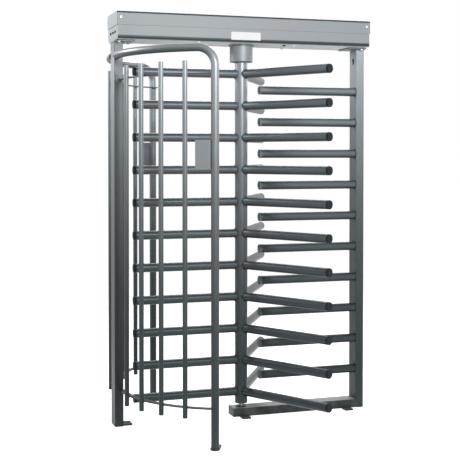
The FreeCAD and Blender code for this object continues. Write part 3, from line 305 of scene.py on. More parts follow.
def ring(centre: Vector, radius: float, first: Vector, second: Vector, start: float = 0,
         end: float = 360, steps: int = 48) -> Path:
    """Circle or arc: centre + radius (first cos a + second sin a).

    Args:
        centre: Its centre.
        radius: Its radius.
        first: Direction at angle 0.
        second: Direction at a quarter turn.
        start: First angle, in degrees.
        end: Last angle, in degrees.
        steps: Divisions of the arc.

    Returns:
        The path, with its side pointing outwards and its up along the circle's axis.
    """
    angle = np.radians(np.linspace(start, end, steps + 1))[:, None]
    first, second = np.asarray(first, float), np.asarray(second, float)
    out = first * np.cos(angle) + second * np.sin(angle)
    axis = np.broadcast_to(np.cross(first, second), out.shape)
    return Path(np.asarray(centre, float) + radius * out, out, axis)


def chain(*paths: Path) -> Path:
    """Puts paths one after another, each starting where the one before ends."""
    parts = ("points", "side", "up")
    return Path(*(np.concatenate([getattr(path, part) for path in paths]) for part in parts))


def divided(outline: np.ndarray, step: float) -> np.ndarray:
    """Splits the sides of a closed outline into equal parts.

    Args:
        outline: The outline's points, the first one repeated at the end.
        step: About how long a part is.

    Returns:
        The new outline's points, the first one repeated at the end.
    """
    sides = np.diff(outline, axis=0)
    counts = np.maximum(np.linalg.norm(sides, axis=1) / step, 1).astype(int)
    shares = [np.linspace(0, 1, count, endpoint=False)[:, None] for count in counts]
    parts = [start + side * share for start, side, share in zip(outline, sides, shares)]
    return np.concatenate([*parts, outline[:1]])


def circle(radius: float, steps: int) -> np.ndarray:
    """Round section, from angle 0 round to angle 0 again."""
    angle = np.linspace(0, TURN, steps + 1)
    return radius * np.stack([np.cos(angle), np.sin(angle)], -1)


def sweep(path: Path, section: np.ndarray) -> np.ndarray:
    """Carries a section along a path: point + s side + u up, closed at both ends.

    Args:
        path: The path.
        section: Closed outline of side and up values.

    Returns:
        The surface's points, one row for each point of the path and one for each end.
    """
    along, across = section.T[:, None, :, None]
    grid = path.points[:, None] + along * path.side[:, None] + across * path.up[:, None]
    ends = np.broadcast_to(path.points[[0, -1], None], (2, *grid.shape[1:]))
    return np.concatenate([ends[:1], grid, ends[1:]])


def bead(path: Path, width: float, drop: float = 5.0, closed: bool = False) -> np.ndarray:
    """Weld bead along a path.

    Its section is a circle whose radius swells and sinks along the path like overlapping
    drops, width (1 + RIPPLE |sin(pi length / drop)|), and shrinks to nothing at the ends of
    an open path.

    Args:
        path: The corner that the bead lies in.
        width: Half the bead's thickness.
        drop: Length of one drop.
        closed: Whether the path ends where it starts.

    Returns:
        The surface's points.
    """
    step = np.linalg.norm(np.diff(path.points, axis=0), axis=1)
    length = np.concatenate([[0.0], np.cumsum(step)])
    share = length / length[-1]
    drops = max(round(length[-1] / drop), 1)
    swell = 1 + RIPPLE * np.abs(np.sin(math.pi * drops * share))
    if not closed:
        swell = swell * np.sqrt(np.clip(1 - np.abs(2 * share - 1) ** 24, 0, 1))
    angle = np.linspace(0, TURN, 9)[None, :, None]
    section = np.cos(angle) * path.side[:, None] + np.sin(angle) * path.up[:, None]
    return path.points[:, None] + (width * swell)[:, None, None] * section


def stand(grid: np.ndarray, at: Vector, up: Vector = Z_AXIS, along: Vector = X_AXIS) -> np.ndarray:
    """Places a surface made about Z: its Z follows `up` and its X follows `along`.

    Args:
        grid: The surface's points.
        at: Where its origin goes.
        up: Unit direction of its Z.
        along: Unit direction of its X, square to up.

    Returns:
        The placed points.
    """
    up, along = np.asarray(up, float), np.asarray(along, float)
    return grid @ np.stack([along, np.cross(up, along), up]) + np.asarray(at, float)


def pipe(length: float, outer: float, wall: float, edge: float = 0.6,
         steps: int = 36) -> np.ndarray:
    """Open tube or washer from z 0 to its length with softened rims."""
    outline = rectangle(outer - wall, outer, 0, length)
    return lathe(soften(outline, edge, 3), steps)


def hexagon_reach(angle: np.ndarray, corners: float) -> np.ndarray:
    """A hexagon's reach by angle from a corner: apothem / cos(angle from the side's middle)."""
    sixth = TURN / 6
    return corners / 2 * math.cos(sixth / 2) / np.cos(np.mod(angle, sixth) - sixth / 2)


def hexagon_nut(corners: float, height: float, steps: int = 48) -> np.ndarray:
    """Hexagon head or nut on z 0 with its upper corners turned off at 30 degrees.

    The side's upper rim sinks where the hexagon reaches past the turned circle, by the
    distance past it times tan 30.

    Args:
        corners: Size across the corners.
        height: Its height.
        steps: Divisions round it, a multiple of six.

    Returns:
        The surface's points.
    """
    angle = np.linspace(0, TURN, steps + 1)
    side = hexagon_reach(angle, corners)
    turned = corners / 2 * math.cos(TURN / 12) * 0.95
    rim = height - (side - turned) * math.tan(math.radians(30))
    none = 0 * side
    radius = np.stack([none, side, side, turned + none, none])
    return around(angle, radius, np.stack([none, none, rim, height + none, height + none]))


def button_screw(head: float, height: float, socket: float, steps: int = 48) -> np.ndarray:
    """Button head on z 0: a dome of elliptical section with a hexagon socket in its top.

    Args:
        head: The head's diameter.
        height: The head's height.
        socket: The socket's size across its corners.
        steps: Divisions round it, a multiple of six.

    Returns:
        The surface's points.
    """
    angle = np.linspace(0, TURN, steps + 1)
    rise = (np.linspace(0, 1, 6) * TURN / 4 * 0.8)[:, None] + 0 * angle
    key = hexagon_reach(angle, socket)[None]
    radius = np.concatenate([0 * key, head / 2 * np.cos(rise), key, key, 0 * key])
    dome = height * np.sin(rise) / math.sin(rise[-1, 0])
    flat, sunk = np.full_like(key, height), np.full_like(key, height * 0.35)
    return around(angle, radius, np.concatenate([0 * key, dome, flat, sunk, sunk]))


def end_cap(radius: float, length: float) -> np.ndarray:
    """Plug head on z 0: a groove at the tube, a rounded rim, a shallow dish and its gate mark."""
    profile = [(0, 0), (radius - 1.6, 0), (radius - 1.6, 1.2), (radius, 1.6), (radius, length),
               (radius - 5, length), (radius - 7, length - 1.2), (3.2, length - 1.2),
               (3.0, length - 0.5), (0, length - 0.5)]
    return lathe(soften(profile, [0, 0, 0.3, 0.5, 3.6, 1.0, 0.8, 0.3, 0.3, 0], 5)[:-1], 40)


# Shaders.


class Shade:
    """A socket of a shader graph. Arithmetic on it adds Math nodes."""

    def __init__(self, graph: "Graph", socket: bpy.types.NodeSocket) -> None:
        """Wraps a socket of the graph."""
        self.graph = graph
        self.socket = socket

    def _math(self, operation: str, *values: "Shade | float") -> "Shade":
        """Adds a Math node with these inputs."""
        return self.graph.node("ShaderNodeMath", {"operation": operation}, dict(enumerate(values)))

    def __add__(self, other: "Shade | float") -> "Shade":
        """Sum."""
        return self._math("ADD", self, other)

    __radd__ = __add__

    def __mul__(self, other: "Shade | float") -> "Shade":
        """Product."""
        return self._math("MULTIPLY", self, other)

    __rmul__ = __mul__

    def __sub__(self, other: "Shade | float") -> "Shade":
        """Difference."""
        return self._math("SUBTRACT", self, other)

    def __rsub__(self, other: float) -> "Shade":
        """Difference from a number."""
        return self._math("SUBTRACT", other, self)

    def __pow__(self, other: float) -> "Shade":
        """Power."""
        return self._math("POWER", self, other)

    def ramp(self, low: float, high: float) -> "Shade":
        """Runs smoothly from 0 at the low value to 1 at the high one."""
        inputs = {"Value": self, "From Min": low, "From Max": high}
        return self.graph.node("ShaderNodeMapRange", {"interpolation_type": "SMOOTHSTEP"}, inputs)


class Graph:
    """Node tree of a material or a world, built up from expressions."""

    def __init__(self, owner: bpy.types.Material | bpy.types.World) -> None:
        """Starts with the owner's tree emptied."""
        owner.use_nodes = True
        self.tree = owner.node_tree
        self.tree.nodes.clear()

    def add(self, kind: str, settings: Mapping[str, object] | None,
            inputs: Mapping[str | int, object] | None) -> bpy.types.Node:
        """Adds a node.

        Args:
            kind: The node's type.
            settings: Its properties, set before its sockets.
            inputs: Values or links of its sockets, by name or number.

        Returns:
            The node.
        """
        node = self.tree.nodes.new(kind)
        for name, value in (settings or {}).items():
            setattr(node, name, value)
        for name, value in (inputs or {}).items():
            if isinstance(value, Shade):
                self.tree.links.new(value.socket, node.inputs[name])
            else:
                node.inputs[name].default_value = value
        return node

    def node(self, kind: str, settings: Mapping[str, object] | None = None,
             inputs: Mapping[str | int, object] | None = None, output: str | int = 0) -> Shade:
        """Adds a node and wraps one of its outputs."""
        return Shade(self, self.add(kind, settings, inputs).outputs[output])

    def place(self) -> Shade:
        """Object coordinates, which stay with the piece."""
        return self.node("ShaderNodeTexCoord", output="Object")

    def axis(self, vector: Shade, name: str) -> Shade:
        """One coordinate of a vector, named X, Y or Z."""
        return self.node("ShaderNodeSeparateXYZ", inputs={0: vector}, output=name)

    def stretched(self, vector: Shade, scale: Vector) -> Shade:
        """A vector with each coordinate scaled, to draw a pattern out along an axis."""
        inputs = {0: vector, 1: tuple(scale)}
        return self.node("ShaderNodeVectorMath", {"operation": "MULTIPLY"}, inputs)

    def noise(self, vector: Shade, scale: float, detail: float) -> Shade:
        """Cloudy noise from 0 to 1."""
        inputs = {"Vector": vector, "Scale": scale, "Detail": detail}
        return self.node("ShaderNodeTexNoise", inputs=inputs)

    def blend(self, factor: Shade, first: Shade | Colour, second: Shade | Colour) -> Shade:
        """Colour between two, by a factor.

        Args:
            factor: 0 for the first colour and 1 for the second, held between them.
            first: First colour.
            second: Second colour.

        Returns:
            The colour.
        """
        ends = (value if isinstance(value, Shade) else (*value, 1.0) for value in (first, second))
        settings = {"data_type": "RGBA", "clamp_factor": True}
        return self.node("ShaderNodeMix", settings, dict(zip((0, 6, 7), (factor, *ends))), 2)

    def bump(self, height: Shade, distance: float, strength: float) -> Shade:
        """Normal bent by a height of this many metres."""
        inputs = {"Height": height, "Distance": distance, "Strength": strength}
        return self.node("ShaderNodeBump", inputs=inputs, output="Normal")


def srgb(red: int, green: int, blue: int) -> Colour:
    """Linear colour of an 8-bit screen colour.

    Args:
        red: Its red, from 0 to 255.
        green: Its green.
        blue: Its blue.

    Returns:
        Its three parts, from 0 to 1.
    """
    part = np.array([red, green, blue]) / 255
    linear = np.where(part <= 0.04045, part / 12.92, ((part + 0.055) / 1.055) ** 2.4)
    return tuple(float(value) for value in linear)


def dimmed(colour: Colour, share: float) -> Colour:
    """A share of a colour's light."""
    return tuple(part * share for part in colour)


# Finishes.


class Finish(ABC):
    """A surface finish, which works out the inputs of the Principled shader."""

    @abstractmethod
    def inputs(self, graph: Graph) -> dict[str, object]:
        """Works out values or links of the shader's sockets in a material's graph.

        Args:
            graph: The material's graph.

        Returns:
            Values or links by socket.
        """

    def material(self, name: str) -> bpy.types.Material:
        """Builds the finish as a material of this name.

        Args:
            name: The material's name.

        Returns:
            The material.
        """
        material = bpy.data.materials.new(name)
        graph = Graph(material)
        surface = graph.node("ShaderNodeBsdfPrincipled", inputs=self.inputs(graph))
        graph.add("ShaderNodeOutputMaterial", None, {"Surface": surface})
        return material


# The coat's patterns: noise scale and detail, and how far runs are drawn out along each axis.
CLOUDS, GRAIN, PEEL, DUST_PATCHES = (5.0, 4.0), (420.0, 2.0), (900.0, 1.0), (24.0, 5.0)
RUNS = (38.0, 38.0, 2.2)

# Heights, in metres, over which dust fades out upwards, and over which painted light on upward faces
# starts above the floor tabs and fades out below the pickets.
DUST_FADE, LIT_TOP_START, LIT_TOP_FADE = (0.16, 0.0), (0.03, 0.05), (0.2, 0.1)

DUST = srgb(132, 129, 122)
# Painted light on upward faces near the floor.
LIT_TOP_FACE = srgb(168, 171, 171)
FOLD_SHADOW = srgb(44, 60, 66)
# Painted reflection of the white floor on the header's underside.
HEADER_UNDERSIDE_REFLECTION = srgb(236, 239, 241)


@dataclass(frozen=True)
class Paint(Finish):
    """Satin powder coat on steel: orange peel, faint clouding, dust near the floor, painted shade and
    painted light.
    """

    top: Colour  # at the header's height
    foot: Colour  # at the floor, darker: painted shade
    gloss: float = 0.42  # roughness
    metallic: float = 0.3  # how metallic the pigment is
    reach: float = 2.12  # height at which the top colour is reached
    fall: float = 2.4  # power with which painted shade darkens the colour below it
    folds: Pair | None = None  # heights of a folded sheet's darker edges
    under_header_shade: Pair | None = None  # heights over which painted shade darkens the coat upwards, under the header
    rim: float = 1.0  # how much painted shade darkens a tube's upper and lower sides

    def inputs(self, graph: Graph) -> dict[str, object]:
        """Works out the coat's colour from the height up, with painted shade and light, grain and
        peel.

        Args:
            graph: The material's graph.

        Returns:
            Values or links by socket.
        """
        place = graph.place()
        height = graph.axis(place, "Z")
        normal = graph.node("ShaderNodeNewGeometry", output="Normal")
        facing = graph.axis(normal, "Z")
        cloud, grain, peel = (graph.noise(place, *pattern) for pattern in (CLOUDS, GRAIN, PEEL))
        run = graph.noise(graph.stretched(place, RUNS), 1.0, 3.0)
        # Painted shade: the coat runs from the top colour high up to the darker foot colour at the
        # floor.
        rise = (height * (1 / self.reach)) ** self.fall
        paint = graph.blend(rise + (cloud - 0.5) * 0.08, self.foot, self.top)
        mottle = (grain - 0.5) * 0.22 + (run - 0.5) * 0.16
        paint = graph.blend(mottle, paint, dimmed(self.foot, 0.82))
        patches = graph.noise(place, *DUST_PATCHES).ramp(0.38, 0.72)
        dust = height.ramp(*DUST_FADE) * patches * 0.18
        paint = graph.blend(dust, paint, DUST)
        # Painted shade on tubes' upper and lower sides and on faces that look down.
        below, above = facing.ramp(0.0, -0.85), facing.ramp(0.4, 0.85)
        tube_side_shade = below * 0.6 + above * facing.ramp(0.999, 0.97) * 0.35
        paint = graph.blend(tube_side_shade * self.rim, paint, dimmed(self.foot, 0.5))
        # Painted light: upward faces near the floor are lighter.
        lit_top = facing.ramp(0.7, 1.0) * height.ramp(*LIT_TOP_FADE) * height.ramp(*LIT_TOP_START)
        paint = graph.blend(lit_top * 0.7, paint, LIT_TOP_FACE)
        # Painted shade under the header, deeper on faces that look down.
        if self.under_header_shade:
            under_header_mask = height.ramp(*self.under_header_shade) * (0.55 - facing * 0.5)
            paint = graph.blend(under_header_mask, paint, self.foot)
        if self.folds:
            paint = graph.blend(self.edges(graph, height, normal) * 0.95, paint, FOLD_SHADOW)
            # Painted reflection: faces that look down on the header are lighter.
            paint = graph.blend(facing.ramp(-0.8, -0.95), paint, HEADER_UNDERSIDE_REFLECTION)
        roughness = self.gloss + (cloud - 0.5) * 0.12 + (grain - 0.5) * 0.1 + dust * 0.3
        return {"Base Color": paint, "Roughness": roughness, "Metallic": self.metallic,
                "Normal": graph.bump(peel * 0.6 + run * 0.4, 0.0002, 0.35),
                "Specular IOR Level": 0.25}

    def edges(self, graph: Graph, height: Shade, normal: Shade) -> Shade:
        """Marks the bands along the folds of the header's front and rear faces.

        Args:
            graph: The material's graph.
            height: Height above the floor.
            normal: Which way the surface faces.

        Returns:
            1 in the bands, fading to 0 beside them and on the header's ends.
        """
        low, high = self.folds
        facing, forward = graph.axis(normal, "Z"), graph.axis(normal, "Y")
        lower = height.ramp(low + 0.025, low + 0.017) * height.ramp(low, low + 0.006)
        upper = height.ramp(high - 0.014, high - 0.008)
        upright = (facing * facing).ramp(0.98, 0.6) * (forward * forward).ramp(0.1, 0.3)
        return (lower + upper) * upright


@dataclass(frozen=True)
class Metal(Finish):
    """Bare metal with fine tool marks and a few stains."""

    colour: Colour
    gloss: float = 0.3  # roughness
    marks: Triple = (60.0, 60.0, 1400.0)  # pattern scale along each axis

    def inputs(self, graph: Graph) -> dict[str, object]:
        """Works out the metal's colour and gloss from its tool marks and stains.

        Args:
            graph: The material's graph.

        Returns:
            Values or links by socket.
        """
        place = graph.place()
        tool = graph.noise(graph.stretched(place, self.marks), 1.0, 3.0)
        stain = graph.noise(place, 30.0, 4.0)
        dull = stain.ramp(0.35, 0.8) * 0.5 + (tool - 0.5) * 0.3
        return {"Base Color": graph.blend(dull, self.colour, dimmed(self.colour, 0.72)),
                "Metallic": 1.0, "Normal": graph.bump(tool, 0.00004, 0.6),
                "Roughness": self.gloss + (tool - 0.5) * 0.18 + stain.ramp(0.4, 0.9) * 0.15}


@dataclass(frozen=True)
class Plastic(Finish):
    """Moulded plastic or lacquer with a fine spark-eroded grain and light scratches."""

    colour: Colour
    worn: Colour  # where it is rubbed
    gloss: float = 0.45  # roughness
    depth: float = 0.00006  # depth of the grain

    def inputs(self, graph: Graph) -> dict[str, object]:
        """Works out the plastic's colour and gloss from its grain and wear.

        Args:
            graph: The material's graph.

        Returns:
            Values or links by socket.
        """
        place = graph.place()
        grain = graph.noise(place, 1500.0, 2.0)
        rub = graph.noise(place, 42.0, 5.0).ramp(0.45, 0.8)
        colour = graph.blend(rub * 0.5 + (grain - 0.5) * 0.2, self.colour, self.worn)
        return {"Base Color": colour, "Normal": graph.bump(grain, self.depth, 0.6),
                "Roughness": self.gloss + rub * 0.15 + (grain - 0.5) * 0.1,
                "Specular IOR Level": 0.15}


# Each paint's top and foot colours give painted shade, darker towards the floor.
FINISHES = {
    Slot.HEADER: Paint(srgb(167, 173, 177), srgb(144, 150, 154), 0.42, 0.0, fall=1.0,
                       folds=(2.148, 2.3)),
    Slot.FRAME: Paint(srgb(166, 173, 178), srgb(54, 62, 63), 0.48, 0.2),
    Slot.ROTOR: Paint(srgb(114, 122, 127), srgb(56, 64, 66), 0.36, fall=1.6),
    # The cage paint has painted shade under the header.
    Slot.CAGE: Paint(srgb(173, 180, 184), srgb(52, 60, 62), 0.38, under_header_shade=(1.98, 2.05)),
    Slot.READER: Paint(srgb(156, 162, 166), srgb(120, 126, 130)),
    Slot.CAP: Plastic(srgb(34, 38, 39), srgb(50, 54, 55), 0.6),
    Slot.ZINC: Metal(srgb(232, 235, 237), 0.24),
    Slot.STUD: Metal(srgb(78, 80, 82), 0.38),
    Slot.LABEL: Plastic(srgb(250, 251, 252), srgb(240, 242, 243), 0.38, 0.00003),
    Slot.MACHINED: Metal(srgb(140, 143, 146), 0.34),
    Slot.SPRING: Metal(srgb(140, 144, 148)),
    Slot.BRONZE: Metal(srgb(86, 70, 50), 0.46),
    Slot.SOLENOID: Plastic(srgb(30, 31, 33), srgb(48, 50, 52), 0.4),
    Slot.BOARD: Plastic(srgb(22, 84, 52), srgb(34, 98, 62), 0.35),
    Slot.SUPPLY: Metal(srgb(186, 190, 193), 0.34, (1300.0, 60.0, 60.0)),
}

# The left post has painted shade under the header; the right one has painted light at its top and
# painted shade that darkens faster towards the floor.
POST_PAINTS = {
    "left": Paint(srgb(166, 173, 178), srgb(54, 62, 63), 0.48, 0.2, under_header_shade=(2.0, 2.14)),
    "right": Paint(srgb(178, 185, 189), srgb(52, 60, 61), 0.48, 0.2, fall=2.8),
}
# Painted shade: the flanges under the header take a darker copy of the frame paint.
SHADED_FLANGE_PAINT = Paint(srgb(136, 143, 147), srgb(54, 62, 63))

# The rotor's tube gets a lighter copy of the arms' paint: painted light, for the highlight an upright
# tube shows.
LIT_TUBE_PAINT = Paint(srgb(168, 174, 179), srgb(52, 60, 62), 0.38)

# The fixed bars are darker than the post, with more painted shade on their upper and lower sides.
BAR_PAINT = Paint(srgb(142, 151, 156), srgb(54, 62, 63), fall=2.2, rim=1.5)
# Painted light: the fixed bars' plugs are light grey, as if lit from the left.
LIT_PLUG_PLASTIC = Plastic(srgb(138, 144, 147), srgb(104, 110, 113), 0.5)

# Painted shade darkens the welds in the corner between the bars and the post.
BAR_JOINT_SHADE_PAINT = Paint(srgb(84, 90, 93), srgb(36, 42, 43))
HOUSING_PAINT = Paint(srgb(152, 156, 159), srgb(54, 62, 64), 0.52, 0.4)
HOOP_PAINT = Paint(srgb(92, 99, 103), srgb(54, 62, 64))


# Pieces.


@dataclass
class Piece:
    """A named piece of the model, put together from surfaces on grids."""

    name: str
    slot: Slot  # the record's slot that it takes its finish from
    grids: Sequence[np.ndarray]  # its surfaces, in millimetres
    node: str | None = None  # CAD node that it stands for
    body: Body = Body.FRAME  # CAD body that it rides on
    finish: Finish | None = None  # a finish of its own, in place of its slot's

    def build(self, wardrobe: "Wardrobe") -> bpy.types.Object:
        """Puts the piece into the scene, on its body and in its finish.

        Args:
            wardrobe: The finishes.

        Returns:
            The piece's object.
        """
        piece = bpy.data.objects.new(self.name, self.mesh())
        piece.data.materials.append(wardrobe.of(self))
        bpy.context.scene.collection.objects.link(piece)
        even = piece.modifiers.new("even_normals", "WEIGHTED_NORMAL")
        even.keep_sharp = True
        even.weight = 100
        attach(piece, self.body.value)
        if self.node:
            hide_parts(self.node)
        log.info("%s: %d surfaces, %d faces", self.name, len(self.grids), len(piece.data.polygons))
        return piece

    def mesh(self) -> bpy.types.Mesh:
        """Joins the grids in one mesh, closes seams and poles, and turns the faces outwards.

        Returns:
            The mesh, in metres.
        """
        vertices = np.concatenate([grid.reshape(-1, 3) for grid in self.grids]) * MILLIMETRE
        faces, start = [], 0
        for grid in self.grids:
            rows, columns = grid.shape[:2]
            index = start + np.arange(rows * columns).reshape(rows, columns)
            corners = [index[:-1, :-1], index[1:, :-1], index[1:, 1:], index[:-1, 1:]]
            faces.append(np.stack(corners, -1).reshape(-1, 4))
            start += rows * columns
        mesh = bpy.data.meshes.new(self.name)
        mesh.from_pydata(vertices.tolist(), [], np.concatenate(faces).tolist())
        shape = bmesh.new()
        shape.from_mesh(mesh)
        bmesh.ops.remove_doubles(shape, verts=shape.verts, dist=MERGE_DISTANCE)
        bmesh.ops.recalc_face_normals(shape, faces=shape.faces)
        shape.to_mesh(mesh)
        shape.free()
        mesh.shade_smooth()
        mesh.set_sharp_from_angle(angle=CREASE_ANGLE)
        return mesh


class Wardrobe:
    """Materials of all the slots, made once each."""

    def __init__(self) -> None:
        """Builds every slot's finish and gives it to the CAD nodes of the slot."""
        self.materials = {slot: finish.material(f"{slot.value}_finish")
                          for slot, finish in FINISHES.items()}
        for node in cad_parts.values():
            for holder in node.material_slots:
                holder.material = self.materials[Slot(holder.material.name)]
        log.info("%d finishes", len(self.materials))

    def of(self, piece: Piece) -> bpy.types.Material:
        """A piece's own finish, or else its slot's.

        Args:
            piece: The piece.

        Returns:
            Its material.
        """
        if piece.finish:
            return piece.finish.material(f"{piece.name}_finish")
        return self.materials[piece.slot]


class Assembly:
    """A sub-assembly, which holds its sizes and builds and dresses its pieces."""

    def pieces(self) -> Iterable[Piece]:
        """Works out the pieces."""
        return ()

    def dress(self, wardrobe: Wardrobe) -> None:
        """Puts every piece into the scene in its finish."""
        for piece in self.pieces():
            piece.build(wardrobe)


# Sub-assemblies.


@dataclass(frozen=True)
class Header(Assembly):
    """Folded cover over the channel, its screws, the blank plate and the bolts below."""

    length: float = 1515  # end to end
    depth: float = 265  # front to rear
    bottom: float = 2148  # height of the underside
    top: float = 2300  # height of the top
    rim: float = 2224  # height of the cover's lower rim
    sheet: float = 3  # sheet thickness
    bend: float = 12  # radius of the cover's long bends
    corner: float = 2.4  # radius of the cover's upright corners
    plate_at: Triple = (-15, -128.5, 2185.5)  # middle of the blank plate
    plate_half: Pair = (88, 22.5)  # half its length and height
    plate_sheet: float = 1.2  # its thickness
    screw: Triple = (14.6, 3.9, 7)  # width and height of a head, and its key
    screw_x: float = 735.5  # cover screws from the rotor axis
    screw_z: float = 2267  # height of the cover screws
    bolt_size: float = 18  # bolt heads across their corners
    head_height: float = 7  # of a bolt
    washer: float = 1.4  # thickness of a washer
    washer_rim: float = 10.4  # radius of a washer, twice that of its hole
    shank: float = 4.9  # radius of a bolt's shank
    grip: float = 11  # thickness of what a bolt holds together
    spare: float = 12.5  # how far a shank reaches past its grip
    flange: float = 8  # thickness of the posts' flanges
    flange_bolts: tuple[Pair, ...] = tuple(
        (side * x, y) for side in (1, -1) for x, y in ((732.5, -66), (732.5, 66), (687.5, 0)))
    base_bolts: tuple[Pair, ...] = (
        (-286, -100), (-286, 100), (286, -100), (286, 100))
    earth_stud: Pair = (236, -76)

    def pieces(self) -> Iterator[Piece]:
        """Works out the cover, its screws, the plate and the bolts.

        Yields:
            The pieces.
        """
        yield Piece("cover_folded_sheet", Slot.HEADER, self.cover(), "header_cover")
        yield Piece("cover_button_screws", Slot.ZINC, self.screws(), "header_screws")
        plate = slab(*self.plate_half, 0, self.plate_sheet, 3, 0.4)
        plate = stand(plate, self.plate_at, (0, -1, 0))
        yield Piece("blank_plate", Slot.LABEL, [plate], "blank_label_plate")
        for name, slot, places, level, node in (
                ("flange_bolt_set", Slot.ZINC, self.flange_bolts, self.bottom - self.flange,
                 "post_flange_bolts"),
                ("base_plate_bolt_set", Slot.ZINC, self.base_bolts, self.bottom,
                 "base_plate_bolts"),
                ("earth_stud_bolt", Slot.STUD, [self.earth_stud], self.bottom, "earth_stud")):
            yield Piece(name, slot, self.bolts(places, level), node)

    def skin(self, inset: float) -> np.ndarray:
        """Stations over the cover's long bends.

        By angle a round the bend the half width shrinks by bend (1 - cos a) and the height
        grows by bend sin a; the ends keep nearly their full length.

        Args:
            inset: Distance from the outside.

        Returns:
            Height, half length, half width and corner radius of each station.
        """
        turn = np.linspace(0, TURN / 4, 7)
        bend, drawn = self.bend - inset, 1 - np.cos(turn)
        level = self.top - inset - bend + bend * np.sin(turn)
        reach = self.length / 2 - inset - 1.6 * drawn
        width = self.depth / 2 - inset - bend * drawn
        return np.stack([level, reach, width, self.corner - 0.9 * drawn], -1)

    def cover(self) -> list[np.ndarray]:
        """Cover as two shells: rounded rectangles up its outside and up its inside.

        Returns:
            The shells' points.
        """
        half_x, half_y = self.length / 2, self.depth / 2
        inner, outer, full = (
            (self.rim + rise, half_x - inset, half_y - inset, self.corner)
            for rise, inset in ((0, self.sheet), (0, 0.5), (0.5, 0)))
        outside = [inner, outer, full, *self.skin(0), (self.top, 0, 0, 0)]
        inside = [inner, *self.skin(self.sheet), (self.top - self.sheet, 0, 0, 0)]
        return [loft(outside), loft(inside)]

    def screws(self) -> list[np.ndarray]:
        """Button head screws in the cover's front and rear."""
        screw = button_screw(*self.screw)
        return [stand(screw, (x, side * self.depth / 2, self.screw_z), (0, side, 0))
                for x in (-self.screw_x, self.screw_x) for side in (-1, 1)]

    def bolts(self, places: Sequence[Vector], level: float) -> list[np.ndarray]:
        """Hexagon bolts whose heads hang below a face, with washers, shanks and nuts.

        Args:
            places: Where the bolts stand.
            level: Height of the face that the heads lie against.

        Returns:
            The surfaces, four for each bolt, and no two bolts turned alike.
        """
        end, thick = self.grip + self.spare, self.shank
        shank = lathe([(0, -1), (thick, -1), (thick, end - 1), (thick - 0.7, end), (0, end)], 24)
        washer = pipe(self.washer, self.washer_rim, self.washer_rim / 2, self.washer / 4, 32)
        head = hexagon_nut(self.bolt_size, self.head_height - self.washer)
        nut = hexagon_nut(self.bolt_size, self.head_height)
        grids = []
        for i, (x, y) in enumerate(places):
            clock = math.radians(17 + 23 * i)
            along = (math.cos(clock), math.sin(clock), 0)
            below = (x, y, level - self.washer)
            grids += [stand(washer, below), stand(head, below, (0, 0, -1), along),
                      stand(nut, (x, y, level + self.grip), Z_AXIS, along),
                      stand(shank, (x, y, level))]
        return grids


